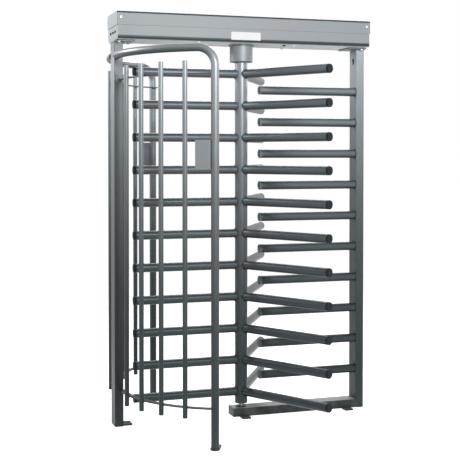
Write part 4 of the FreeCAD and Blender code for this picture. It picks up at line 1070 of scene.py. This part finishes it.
@dataclass(frozen=True)
class Uprights(Assembly):
    """Posts, their flanges, the base beam and the floor tabs, with their welds."""

    inner: float = 707.5  # inner faces of the posts from the rotor axis
    width: float = 50  # post, along the header
    depth: float = 100  # post, front to rear
    height: float = 2140  # top of the posts
    corner: float = 5  # corner radius of the post and beam tube
    hole_z: float = 2072  # height of the cable hole
    hole: float = 36  # diameter of the cable hole
    beam_height: float = 50  # of the base beam
    beam_end: float = -62  # free end of the base beam
    flange: Triple = (56, 80, 8)  # half sides and thickness of a flange
    tab: float = 8  # thickness of the floor tabs
    tab_half: float = 27  # half the length of a tab
    tab_width: Pair = (31, 40)  # half a tab's width, beside the beam and the post
    tab_round: float = 9  # how far the tabs' corners are rounded off
    edge: float = 0.8  # radius of the edges of tabs and flanges
    anchor: float = 7  # radius of the anchor holes
    beam_tabs: Pair = (0, 640)  # tabs beside the beam, from the rotor axis

    def pieces(self) -> Iterator[Piece]:
        """Works out the posts and everything at their heads and feet.

        Yields:
            The pieces.
        """
        half_x, half_y, thickness = self.flange
        flange = slab(half_x, half_y, 0, thickness, thickness / 2, self.edge)
        for side, name, post in ((-1, "left", self.left_post()), (1, "right", self.right_post())):
            yield Piece(f"{name}_post_tube", Slot.FRAME, [post], f"{name}_post",
                        finish=POST_PAINTS[name])
            plate = stand(flange, (side * (self.inner - 6), 0, self.height))
            yield Piece(f"{name}_flange_plate", Slot.FRAME, [plate], f"{name}_post_flange",
                        finish=SHADED_FLANGE_PAINT)
        yield Piece("base_beam_tube", Slot.FRAME, self.beam(), "base_beam")
        yield Piece("beam_tab_plates", Slot.FRAME, self.tabs(), "base_beam_floor_tabs")
        tab = pierced(self.tab_half, self.tab_width[1], self.tab, self.edge, self.tab_round,
                      (5, 0, self.anchor))
        yield Piece("post_tab_plate", Slot.FRAME,
                    [stand(tab, (-self.inner + self.tab_half, 0, 0))], "left_post_floor_tab")
        yield Piece("floor_bush_cup", Slot.BRONZE, [self.bush()], "floor_bush")
        yield Piece("frame_welds", Slot.FRAME, [*self.flange_welds(), *self.floor_welds()])

    def left_post(self) -> np.ndarray:
        """Rectangular tube with rounded corners."""
        post = slab(self.width / 2, self.depth / 2, 0, self.height, self.corner, 0.5)
        return stand(post, (-self.inner - self.width / 2, 0, 0))

    def right_post(self) -> np.ndarray:
        """The same tube with the cable hole in its inner face, made lying on its outer face.

        Returns:
            The surface's points.
        """
        half = self.height / 2
        post = pierced(half, self.depth / 2, self.width, self.corner, 0,
                       (self.hole_z - half, 0, self.hole / 2), self.width - 6, 64)
        return stand(post, (self.inner + self.width, 0, half), (-1, 0, 0), Z_AXIS)

    def beam(self) -> list[np.ndarray]:
        """Base beam with rounded long edges and its welded end plate.

        Returns:
            The two surfaces.
        """
        half, up, across = (self.inner - self.beam_end) / 2, self.beam_height / 2, self.depth / 2
        body = slab(up, across, -half, half - 3, self.corner, 0.4)
        plate = slab(up - 0.6, across - 0.6, half - 3, half, self.corner, 1.2)
        at = (self.inner - half, 0, up)
        return [stand(grid, at, (-1, 0, 0), Z_AXIS) for grid in (body, plate)]

    def tabs(self) -> list[np.ndarray]:
        """Tabs in front of and behind the base beam, each with its anchor hole."""
        plate = pierced(self.tab_half, self.tab_width[0], self.tab, self.edge, self.tab_round,
                        (0, 9, self.anchor))
        return [stand(plate * (1, side, 1), (x, side * 81, 0))
                for x in self.beam_tabs for side in (-1, 1)]

    def bush(self) -> np.ndarray:
        """Bronze cup with a rounded rim in the base beam."""
        corners = [(0, 16.7), (22.3, 16.7), (22.3, 50), (30.3, 50), (30.3, 55), (14.3, 55),
                   (14.3, 19.7), (0, 19.7)]
        return lathe(soften(corners, [0, 0, 0, 0.5, 1.6, 1.2, 0, 0], 4)[:-1])

    def flange_welds(self) -> Iterator[np.ndarray]:
        """Beads round the posts below their flanges.

        Yields:
            The beads' surfaces.
        """
        half_x, half_y = self.width / 2 + 1, self.depth / 2 + 1
        outline = divided(loft([(0, half_x, half_y, self.corner)], 6)[0], 1.6)
        out = unit(outline * (1 / half_x, 1 / half_y, 0))
        up = np.broadcast_to(np.array(Z_AXIS), out.shape)
        for side in (-1, 1):
            centre = (side * (self.inner + self.width / 2), 0, self.height - 1)
            yield bead(Path(outline + np.array(centre), out, up), 2.6, closed=True)

    def floor_welds(self) -> Iterator[np.ndarray]:
        """Beads where the right post meets the beam, and at the tabs.

        Yields:
            The beads' surfaces.
        """
        post, beam, tab = self.inner - 1, self.beam_height + 1, self.tab + 1
        yield bead(line([(post, -46, beam), (post, 46, beam)], (-1, 0, 0), Z_AXIS, 70), 2.6)
        for side in (-1, 1):
            face = side * self.depth / 2
            mitre = [(post, face, self.beam_height), (self.inner + self.width - 5, face, 5)]
            yield bead(line(mitre, (0, side * 0.35, 0), (0.7, 0, 0.7), 50), 2.2)
            for x in self.beam_tabs:
                ends = [(x + end, face + side, tab) for end in (-26, 26)]
                yield bead(line(ends, Y_AXIS, Z_AXIS, 40), 2.4)
        ends = [(-self.inner + 1, y, tab) for y in (-38, 38)]
        yield bead(line(ends, X_AXIS, Z_AXIS, 50), 2.4)


@dataclass(frozen=True)
class FixedBars(Assembly):
    """Bars on the right post, between the heights of the arms."""

    radius: float = 25  # of the bars
    wall: float = 2.5  # of the bars
    start: float = 100  # free end of the caps from the rotor axis
    cap: float = 14  # length of a cap outside its tube
    end: float = 707.5  # right end of the bars
    y: float = -22  # the bars' axes
    heights: tuple[float, ...] = tuple(232.0 + 184 * i for i in range(10))

    def pieces(self) -> Iterator[Piece]:
        """Works out the bars, their caps and their welds.

        Yields:
            The pieces.
        """
        mouth = self.start + self.cap
        tube = pipe(self.end - mouth, self.radius, self.wall)
        cap = end_cap(self.radius, self.cap)
        bars, caps, welds = [], [], []
        for z in self.heights:
            bars.append(stand(tube, (mouth, self.y, z), X_AXIS, Z_AXIS))
            caps.append(stand(cap, (mouth, self.y, z), (-1, 0, 0), Z_AXIS))
            joint = ring((self.end - 0.6, self.y, z), self.radius + 0.8, Y_AXIS, Z_AXIS, steps=120)
            welds.append(bead(joint, 2.8, closed=True))
        yield Piece("fixed_bar_tubes", Slot.FRAME, bars, "fixed_bars", finish=BAR_PAINT)
        yield Piece("fixed_bar_plugs", Slot.CAP, caps, "fixed_bar_caps", finish=LIT_PLUG_PLASTIC)
        yield Piece("fixed_bar_welds", Slot.FRAME, welds, finish=BAR_JOINT_SHADE_PAINT)


@dataclass(frozen=True)
class Rotor(Assembly):
    """Tube with its three wings of arms, their caps and their welds."""

    radius: float = 36.5  # of the tube
    wall: float = 4  # of the tube
    bottom: float = 72  # the tube's lower end
    top: float = 2062  # the tube's upper end
    arm_radius: float = 25
    arm_wall: float = 2.5
    reach: float = 640  # tip of the caps from the axis
    cap: float = 14  # length of a cap outside its tube
    heights: tuple[float, ...] = tuple(140.0 + 184 * i for i in range(11))
    wings: tuple[tuple[str, float], ...] = (
        ("rear_wing", 60), ("left_wing", 180), ("front_wing", 300))  # name and angle of each

    def pieces(self) -> Iterator[Piece]:
        """Works out the tube and the wings.

        Yields:
            The pieces.
        """
        tube = stand(pipe(self.top - self.bottom, self.radius, self.wall, 1.2, 64),
                     (0, 0, self.bottom))
        yield Piece("rotor_tube_skin", Slot.ROTOR, [tube], "rotor_tube", Body.ROTOR, LIT_TUBE_PAINT)
        mouth, start = self.reach - self.cap, self.radius - 9
        arm = pipe(mouth - start, self.arm_radius, self.arm_wall)
        cap = end_cap(self.arm_radius, self.cap)
        for name, angle in self.wings:
            turn = math.radians(angle)
            way = np.array([math.cos(turn), math.sin(turn), 0])
            levels = [np.array([0, 0, z]) for z in self.heights]
            arms = [stand(arm, at + way * start, way, Z_AXIS) for at in levels]
            caps = [stand(cap, at + way * mouth, way, Z_AXIS) for at in levels]
            welds = [bead(self.saddle(at, way), 3.0, closed=True) for at in levels]
            yield Piece(f"{name}_tubes", Slot.ROTOR, arms, f"{name}_arms", Body.ROTOR)
            yield Piece(f"{name}_plugs", Slot.CAP, caps, f"{name}_caps", Body.ROTOR)
            yield Piece(f"{name}_welds", Slot.ROTOR, welds, body=Body.ROTOR)

    def saddle(self, at: np.ndarray, way: np.ndarray) -> Path:
        """Line where an arm meets the tube.

        Round the arm by angle a it lies r cos a across and r sin a up, and sqrt(R^2 -
        (r cos a)^2) out from the axis, with R and r the radii of tube and arm.

        Args:
            at: Where the arm's axis meets the rotor axis.
            way: Unit direction of the arm.

        Returns:
            The line, its side away from the arm and its up away from the tube.
        """
        across = np.cross(Z_AXIS, way)
        angle = np.linspace(0, TURN, 121)[:, None]
        radius = self.arm_radius + 0.9
        out = across * np.cos(angle) + np.array(Z_AXIS) * np.sin(angle)
        depth = np.sqrt((self.radius + 0.9) ** 2 - (radius * np.cos(angle)) ** 2)
        away = unit(way * depth + across * radius * np.cos(angle))
        return Path(at + way * depth + radius * out, out, away)


@dataclass(frozen=True)
class BearingHousing(Assembly):
    """Round housing below the header."""

    outer: float = 66.5  # radius of the housing
    rim: float = 74  # radius of its flange
    flange: float = 7  # thickness of its flange
    mouth: float = 39  # radius of its mouth
    seat: float = 45.05  # radius of the bearing's seat
    bottom: float = 2048  # height of its lower end
    shelf: float = 2074  # height of the bearing's shelf
    top: float = 2148  # height of its upper end

    def pieces(self) -> Iterator[Piece]:
        """Works out the housing.

        Yields:
            The piece.
        """
        below = self.top - self.flange
        corners = [(self.mouth, self.bottom), (self.outer, self.bottom), (self.outer, below),
                   (self.rim, below), *rectangle(self.seat, self.rim, self.shelf, self.top)[2:],
                   (self.seat, self.shelf), (self.mouth, self.shelf)]
        profile = soften(corners, [1.5, 4, 2.5, 1.2, 0.4, 0.4, 0.4, 0.4], 5)
        yield Piece("bearing_housing_shell", Slot.FRAME, [lathe(profile, 72)], "bearing_housing",
                    finish=HOUSING_PAINT)


@dataclass(frozen=True)
class PlungerSprings(Assembly):
    """Return springs of the two plungers, coiled to the length of their CAD nodes."""

    turns: int = 5  # of the wire
    wire: float = 0.8  # radius of the wire
    stroke: float = 4.3  # how far a plunger shortens its spring
    steps: int = 28  # sections along each turn

    def dress(self, wardrobe: Wardrobe) -> None:
        """Puts both springs in the places of their CAD nodes, each on a mesh of its own.

        Args:
            wardrobe: The finishes.
        """
        for name in ("front_plunger", "rear_plunger"):
            low, high = (np.array(corner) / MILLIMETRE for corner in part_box(f"{name}_spring"))
            spring = Piece(f"{name}_return_spring", Slot.SPRING, [self.coil(low, high)],
                           f"{name}_spring").build(wardrobe)
            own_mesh(spring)

    def coil(self, low: np.ndarray, high: np.ndarray) -> np.ndarray:
        """One unbroken wire: r (cos a, sin a) across the axis, and a straight climb along it.

        Args:
            low: Lowest corner of the spring's box.
            high: Highest corner of the spring's box.

        Returns:
            The surface's points.
        """
        angle = np.linspace(0, TURN * self.turns, self.turns * self.steps + 1)[:, None]
        radius = (high[2] - low[2]) / 2 - self.wire
        climb = (high[0] - low[0] - 2 * self.wire) / (TURN * self.turns)
        out = np.concatenate([0 * angle, np.cos(angle), np.sin(angle)], 1)
        ahead = unit(np.concatenate([0 * angle + climb, -radius * np.sin(angle),
                                     radius * np.cos(angle)], 1))
        start = np.array([low[0] + self.wire, *(low + high)[1:] / 2])
        points = start + radius * out + climb * angle * np.array(X_AXIS)
        return sweep(Path(points, out, np.cross(ahead, out)), circle(self.wire, 12))


@dataclass(frozen=True)
class CageHalf(Assembly):
    """One half of the cage: pickets, hoops, end tube, its foot and the reader plate.

    All of it is worked out for the front half and mirrored for the rear one.
    """

    half: Half
    centre: Pair = (-90, -55)  # centre of the arc
    radius: float = 655  # arc through the pickets
    foot_angle: float = 65.6  # end tube round the arc, in degrees
    tube: float = 21  # radius of the end tube
    bend: float = 95  # the end tube's bend radius
    top_run: float = 2064  # height of its top run
    picket: float = 13  # radius of a picket
    picket_wall: float = 2.5
    picket_bottom: float = 154  # height of the pickets' lower ends
    picket_top: float = 1997  # height of the pickets' upper ends
    picket_angles: tuple[float, ...] = (14.0, 26.5, 39.0, 51.5)  # round the arc, in degrees
    hoops: Pair = (201, 1929)  # heights of the hoops' undersides
    hoop_width: float = 32  # of the flat bar
    hoop_thickness: float = 6  # of the flat bar
    post_face: float = -50  # face of the left post that the cage is welded to
    foot_size: Triple = (45, 25, 8)  # half sides and thickness of its foot
    anchor: float = 7  # radius of the anchor hole
    reader_z: float = 1515  # middle of the reader plate
    reader_half: float = 75  # half its height
    reader_sheet: float = 3  # its thickness and the radius of its fold
    reader_lip: Pair = (12, -7.5)  # its short leaf, along the way to the centre
    reader_leaf: Pair = (25.8, 101.3)  # its long leaf, from the tube's axis

    def pieces(self) -> Iterator[Piece]:
        """Works out this half's pieces.

        Yields:
            The pieces.
        """
        name = self.half.name.lower()
        lower, upper = (self.hoop(level) for level in self.hoops)
        tube = sweep(self.tube_path(), circle(self.tube, 36))
        for title, slot, grids, node, finish in (
                ("picket_tubes", Slot.CAGE, self.pickets(), "pickets", None),
                ("lower_hoop_bar", Slot.CAGE, [lower], "lower_hoop", HOOP_PAINT),
                ("upper_hoop_bar", Slot.CAGE, [upper], "upper_hoop", HOOP_PAINT),
                ("bent_tube", Slot.CAGE, [tube], "end_tube", None),
                ("foot_plate", Slot.CAGE, [self.foot_plate()], "tube_foot", None),
                ("folded_plate", Slot.READER, [self.reader()], "reader_plate", None),
                ("cage_welds", Slot.CAGE, [*self.tube_welds(), *self.hoop_welds()], None, None)):
            side = [grid * (1, -self.half.value, 1) for grid in grids]
            yield Piece(f"{name}_{title}", slot, side, f"{name}_{node}" if node else None,
                        finish=finish)

    def out(self, angle: float | np.ndarray) -> np.ndarray:
        """Direction from the arc's centre, by an angle from the left post in degrees."""
        turn = np.radians(angle)
        return np.stack([-np.cos(turn), -np.sin(turn), 0 * turn], -1)

    def at(self, radius: float, angle: float | np.ndarray, height: float) -> np.ndarray:
        """Point round the arc."""
        return np.array([*self.centre, height]) + radius * self.out(angle)

    def foot(self, height: float) -> np.ndarray:
        """Point on the end tube's axis, where its bend starts beside the arc's end."""
        return self.at(math.hypot(self.radius, self.bend), self.foot_angle, height)

    def pickets(self) -> list[np.ndarray]:
        """Open tubes round the arc."""
        tube = pipe(self.picket_top - self.picket_bottom, self.picket, self.picket_wall, 0.8, 32)
        return [stand(tube, self.at(self.radius, angle, self.picket_bottom))
                for angle in self.picket_angles]

    def hoop(self, bottom: float) -> np.ndarray:
        """Flat bar off the post and round the arc, inside the pickets.

        Args:
            bottom: Height of its underside.

        Returns:
            The surface's points.
        """
        half_x, half_y = self.hoop_width / 2, self.hoop_thickness / 2
        radius, level = self.radius - self.picket - half_x, bottom + half_y
        start = self.at(radius, 0, level)
        arc = ring((*self.centre, level), radius, (-1, 0, 0), (0, -1, 0), 0, self.foot_angle, 40)
        run = line([(start[0], self.post_face, level), start], (-1, 0, 0), Z_AXIS)
        section = soften(rectangle(-half_x, half_x, -half_y, half_y), 1.2, 3)
        return sweep(chain(run, arc), section)

    def tube_path(self) -> Path:
        """Middle of the end tube: up the leg, over the bend, round the arc and on to the post.

        Over the bend by angle b it lies bend (1 - cos b) ahead and bend sin b up.

        Returns:
            The path.
        """
        last = self.foot_angle - math.degrees(math.atan(self.bend / self.radius))
        out, up = self.out(last), np.array(Z_AXIS)
        ahead = np.cross(out, up)
        elbow = self.foot(self.top_run - self.bend)
        leg = line([self.foot(0), elbow], out, ahead)
        turn = np.linspace(0, TURN / 4, 19)[1:, None]
        rise = elbow + self.bend * ((1 - np.cos(turn)) * ahead + np.sin(turn) * up)
        side = np.broadcast_to(out, rise.shape)
        bend = Path(rise, side, np.cross(side, np.sin(turn) * ahead + np.cos(turn) * up))
        angle = np.linspace(last, 0, 40)[1:]
        end = (self.centre[0] - self.radius, self.post_face, self.top_run)
        run = np.vstack([self.at(self.radius, angle, self.top_run), end])
        across = np.vstack([self.out(angle), self.out(0.0)])
        return chain(leg, bend, Path(run, across, np.broadcast_to(-up, run.shape)))

    def foot_plate(self) -> np.ndarray:
        """Floor tab from the end tube towards the arc's centre, with its anchor hole.

        Returns:
            The surface's points.
        """
        inwards = -self.out(self.foot_angle)
        length = self.foot_size[0]
        plate = pierced(*self.foot_size, 0.8, 8, (length - 22, 0, self.anchor))
        return stand(plate, self.foot(0) + (length - 8) * inwards, Z_AXIS, inwards)

    def reader(self) -> np.ndarray:
        """Folded plate: a flat section carried along the lip, the fold and the long leaf.

        Returns:
            The surface's points.
        """
        inwards, fold = -self.out(self.foot_angle), self.reader_sheet
        along, tube = np.cross(Z_AXIS, inwards), self.foot(self.reader_z)
        (lip, back), (near, far) = self.reader_lip, self.reader_leaf
        beside = tube + along * (near - fold)
        edge = line([beside + inwards * lip, beside + inwards * back], -along, Z_AXIS)
        bend = ring(tube + inwards * back + along * near, fold, -along, -inwards, 0, 90, 6)
        bend = Path(bend.points, bend.side, np.broadcast_to(Z_AXIS, bend.side.shape))
        behind = tube + inwards * (back - fold)
        leaf = line([behind + along * near, behind + along * far], -inwards, Z_AXIS)
        half, tall = self.reader_sheet / 2, self.reader_half
        return sweep(chain(edge, bend, leaf), soften(rectangle(-half, half, -tall, tall), 0.8, 3))

    def tube_welds(self) -> Iterator[np.ndarray]:
        """Beads round the end tube at its foot and at the post.

        Yields:
            The beads' surfaces.
        """
        yield bead(ring(self.foot(9), self.tube + 1, X_AXIS, Y_AXIS, steps=110), 2.6, closed=True)
        end = (self.centre[0] - self.radius, self.post_face - 0.6, self.top_run)
        yield bead(ring(end, self.tube + 0.8, X_AXIS, Z_AXIS, -122, 122, 90), 2.4)

    def hoop_welds(self) -> Iterator[np.ndarray]:
        """Beads above and below the hoops, at the pickets, at the post and at the end tube.

        Yields:
            The beads' surfaces.
        """
        edge, face = self.centre[0] - self.radius + self.picket, self.post_face - 0.6
        spots = [(self.radius, angle, self.picket + 0.6, (-42, 42, 26), 1.8)
                 for angle in self.picket_angles]
        spots.append((math.hypot(self.radius, self.bend), self.foot_angle, self.tube + 0.6,
                      (-58, 8, 30), 2.0))
        for hoop in self.hoops:
            for level in (hoop - 0.5, hoop + self.hoop_thickness + 0.5):
                for radius, angle, reach, spread, width in spots:
                    inwards = -self.out(angle)
                    arc = ring(self.at(radius, angle, level), reach, inwards,
                               np.cross(Z_AXIS, inwards), *spread)
                    yield bead(arc, width, 4)
                ends = [(x, face, level) for x in (edge + 2, edge + self.hoop_width - 9)]
                yield bead(line(ends, (0, -1, 0), Z_AXIS, 24), 2.0, 4)


# Studio.


@dataclass(frozen=True)
class Lamp:
    """Soft rectangular lamp."""

    name: str
    at: Triple  # where it stands
    aim: Triple  # what it points at
    size: Pair  # its two sides
    power: float  # in watts

    def build(self) -> None:
        """Adds the lamp, unseen by the camera itself."""
        data = bpy.data.lights.new(self.name, "AREA")
        data.shape = "RECTANGLE"
        data.size, data.size_y = self.size
        data.energy = self.power
        lamp = bpy.data.objects.new(self.name, data)
        lamp.location = self.at
        x, y, z = np.subtract(self.aim, self.at)
        tilt = math.atan2(math.hypot(x, y), -z)
        lamp.rotation_euler = (tilt, 0, math.atan2(y, x) - math.pi / 2)
        lamp.visible_camera = False
        bpy.context.scene.collection.objects.link(lamp)


LAMPS = (
    Lamp("front_lamp", (0.1, -3.8, 2.7), (0.05, 0.0, 1.5), (1.2, 0.9), 107),
    Lamp("left_lamp", (-2.4, 1.2, 2.9), (-0.75, 0.0, 2.1), (0.9, 0.9), 57),
    Lamp("right_lamp", (3.2, 0.9, 2.4), (0.7, 0.0, 1.6), (1.4, 1.2), 30),
    Lamp("rear_lamp", (1.2, 3.0, 3.9), (0.0, 0.0, 1.4), (2.4, 1.4), 85),
)


@dataclass(frozen=True)
class Studio:
    """White room, soft lamps and the photograph's camera."""

    floor_half: float = 40.0  # half the floor's side
    floor_level: float = -0.0005  # just under the feet, so no two faces share a plane
    floor_colour: Colour = (0.8, 0.8, 0.8)
    floor_glow: float = 0.96  # how white the camera sees it
    ambient: float = 0.08  # strength of the world where it only lights the object
    lens: float = 82.158  # focal length, in millimetres
    sensor: float = 36  # width of the sensor, in millimetres
    shift: float = -0.115  # how far the picture is moved down, as a share of its width
    camera_at: Triple = (-1.9547, -5.7669, 1.5184)
    camera_tilt: float = 88.739  # in degrees
    camera_heading: float = -18.114  # in degrees

    def build(self) -> None:
        """Sets up floor, world, lamps and camera."""
        self.floor()
        self.world()
        for lamp in LAMPS:
            lamp.build()
        self.camera()
        bpy.context.scene.view_settings.view_transform = "Standard"

    def seen(self, graph: Graph) -> Shade:
        """1 for camera, mirror and glass rays, 0 for light that falls on other pieces.

        Args:
            graph: The graph of the floor or the world.

        Returns:
            The factor.
        """
        camera, glossy, clear = (graph.node("ShaderNodeLightPath", output=f"Is {kind} Ray")
                                 for kind in ("Camera", "Glossy", "Transmission"))
        inputs = {0: camera + glossy + clear, 1: 1.0}
        return graph.node("ShaderNodeMath", {"operation": "MINIMUM"}, inputs)

    def floor(self) -> None:
        """Plain white floor that keeps the object's shadow."""
        corners = rectangle(-self.floor_half, self.floor_half, -self.floor_half, self.floor_half)
        mesh = bpy.data.meshes.new("studio_floor")
        mesh.from_pydata([(x, y, self.floor_level) for x, y in corners], [], [(0, 1, 2, 3)])
        floor = bpy.data.objects.new("studio_floor", mesh)
        bpy.context.scene.collection.objects.link(floor)
        material = bpy.data.materials.new("studio_floor_white")
        graph = Graph(material)
        matte = graph.node("ShaderNodeBsdfDiffuse", inputs={"Color": (*self.floor_colour, 1.0)})
        glow = graph.node("ShaderNodeEmission",
                          inputs={"Strength": self.seen(graph) * self.floor_glow})
        both = graph.node("ShaderNodeAddShader", inputs={0: matte, 1: glow})
        graph.add("ShaderNodeOutputMaterial", None, {"Surface": both})
        mesh.materials.append(material)
        floor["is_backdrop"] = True

    def world(self) -> None:
        """White behind the object, dim where it only lights it."""
        world = bpy.data.worlds.new("studio_world")
        bpy.context.scene.world = world
        graph = Graph(world)
        strength = self.seen(graph) * (1 - self.ambient) + self.ambient
        inputs = {"Color": (1.0, 1.0, 1.0, 1.0), "Strength": strength}
        background = graph.node("ShaderNodeBackground", inputs=inputs)
        graph.add("ShaderNodeOutputWorld", None, {"Surface": background})

    def camera(self) -> None:
        """Camera fitted to the photograph's edges."""
        data = bpy.data.cameras.new("photo_camera")
        data.sensor_width = self.sensor
        data.lens = self.lens
        data.shift_y = self.shift
        camera = bpy.data.objects.new("photo_camera", data)
        camera.location = self.camera_at
        tilt, heading = math.radians(self.camera_tilt), math.radians(self.camera_heading)
        camera.rotation_euler = (tilt, 0, heading)
        bpy.context.scene.collection.objects.link(camera)
        bpy.context.scene.camera = camera


def main() -> None:
    """Builds the sub-assemblies in order."""
    logging.basicConfig(level=logging.INFO, format="%(message)s")
    wardrobe = Wardrobe()
    for assembly in (Header(), Uprights(), FixedBars(), Rotor(), BearingHousing(),
                     PlungerSprings(), CageHalf(Half.FRONT), CageHalf(Half.REAR)):
        assembly.dress(wardrobe)
        log.info("%s dressed", type(assembly).__name__)
    Studio().build()
    boxes = {name: [[float(value) for value in corner] for corner in box]
             for name, box in (("cad", CAD_BOX), ("visual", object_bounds()))}


if __name__ == "__main__":
    main()
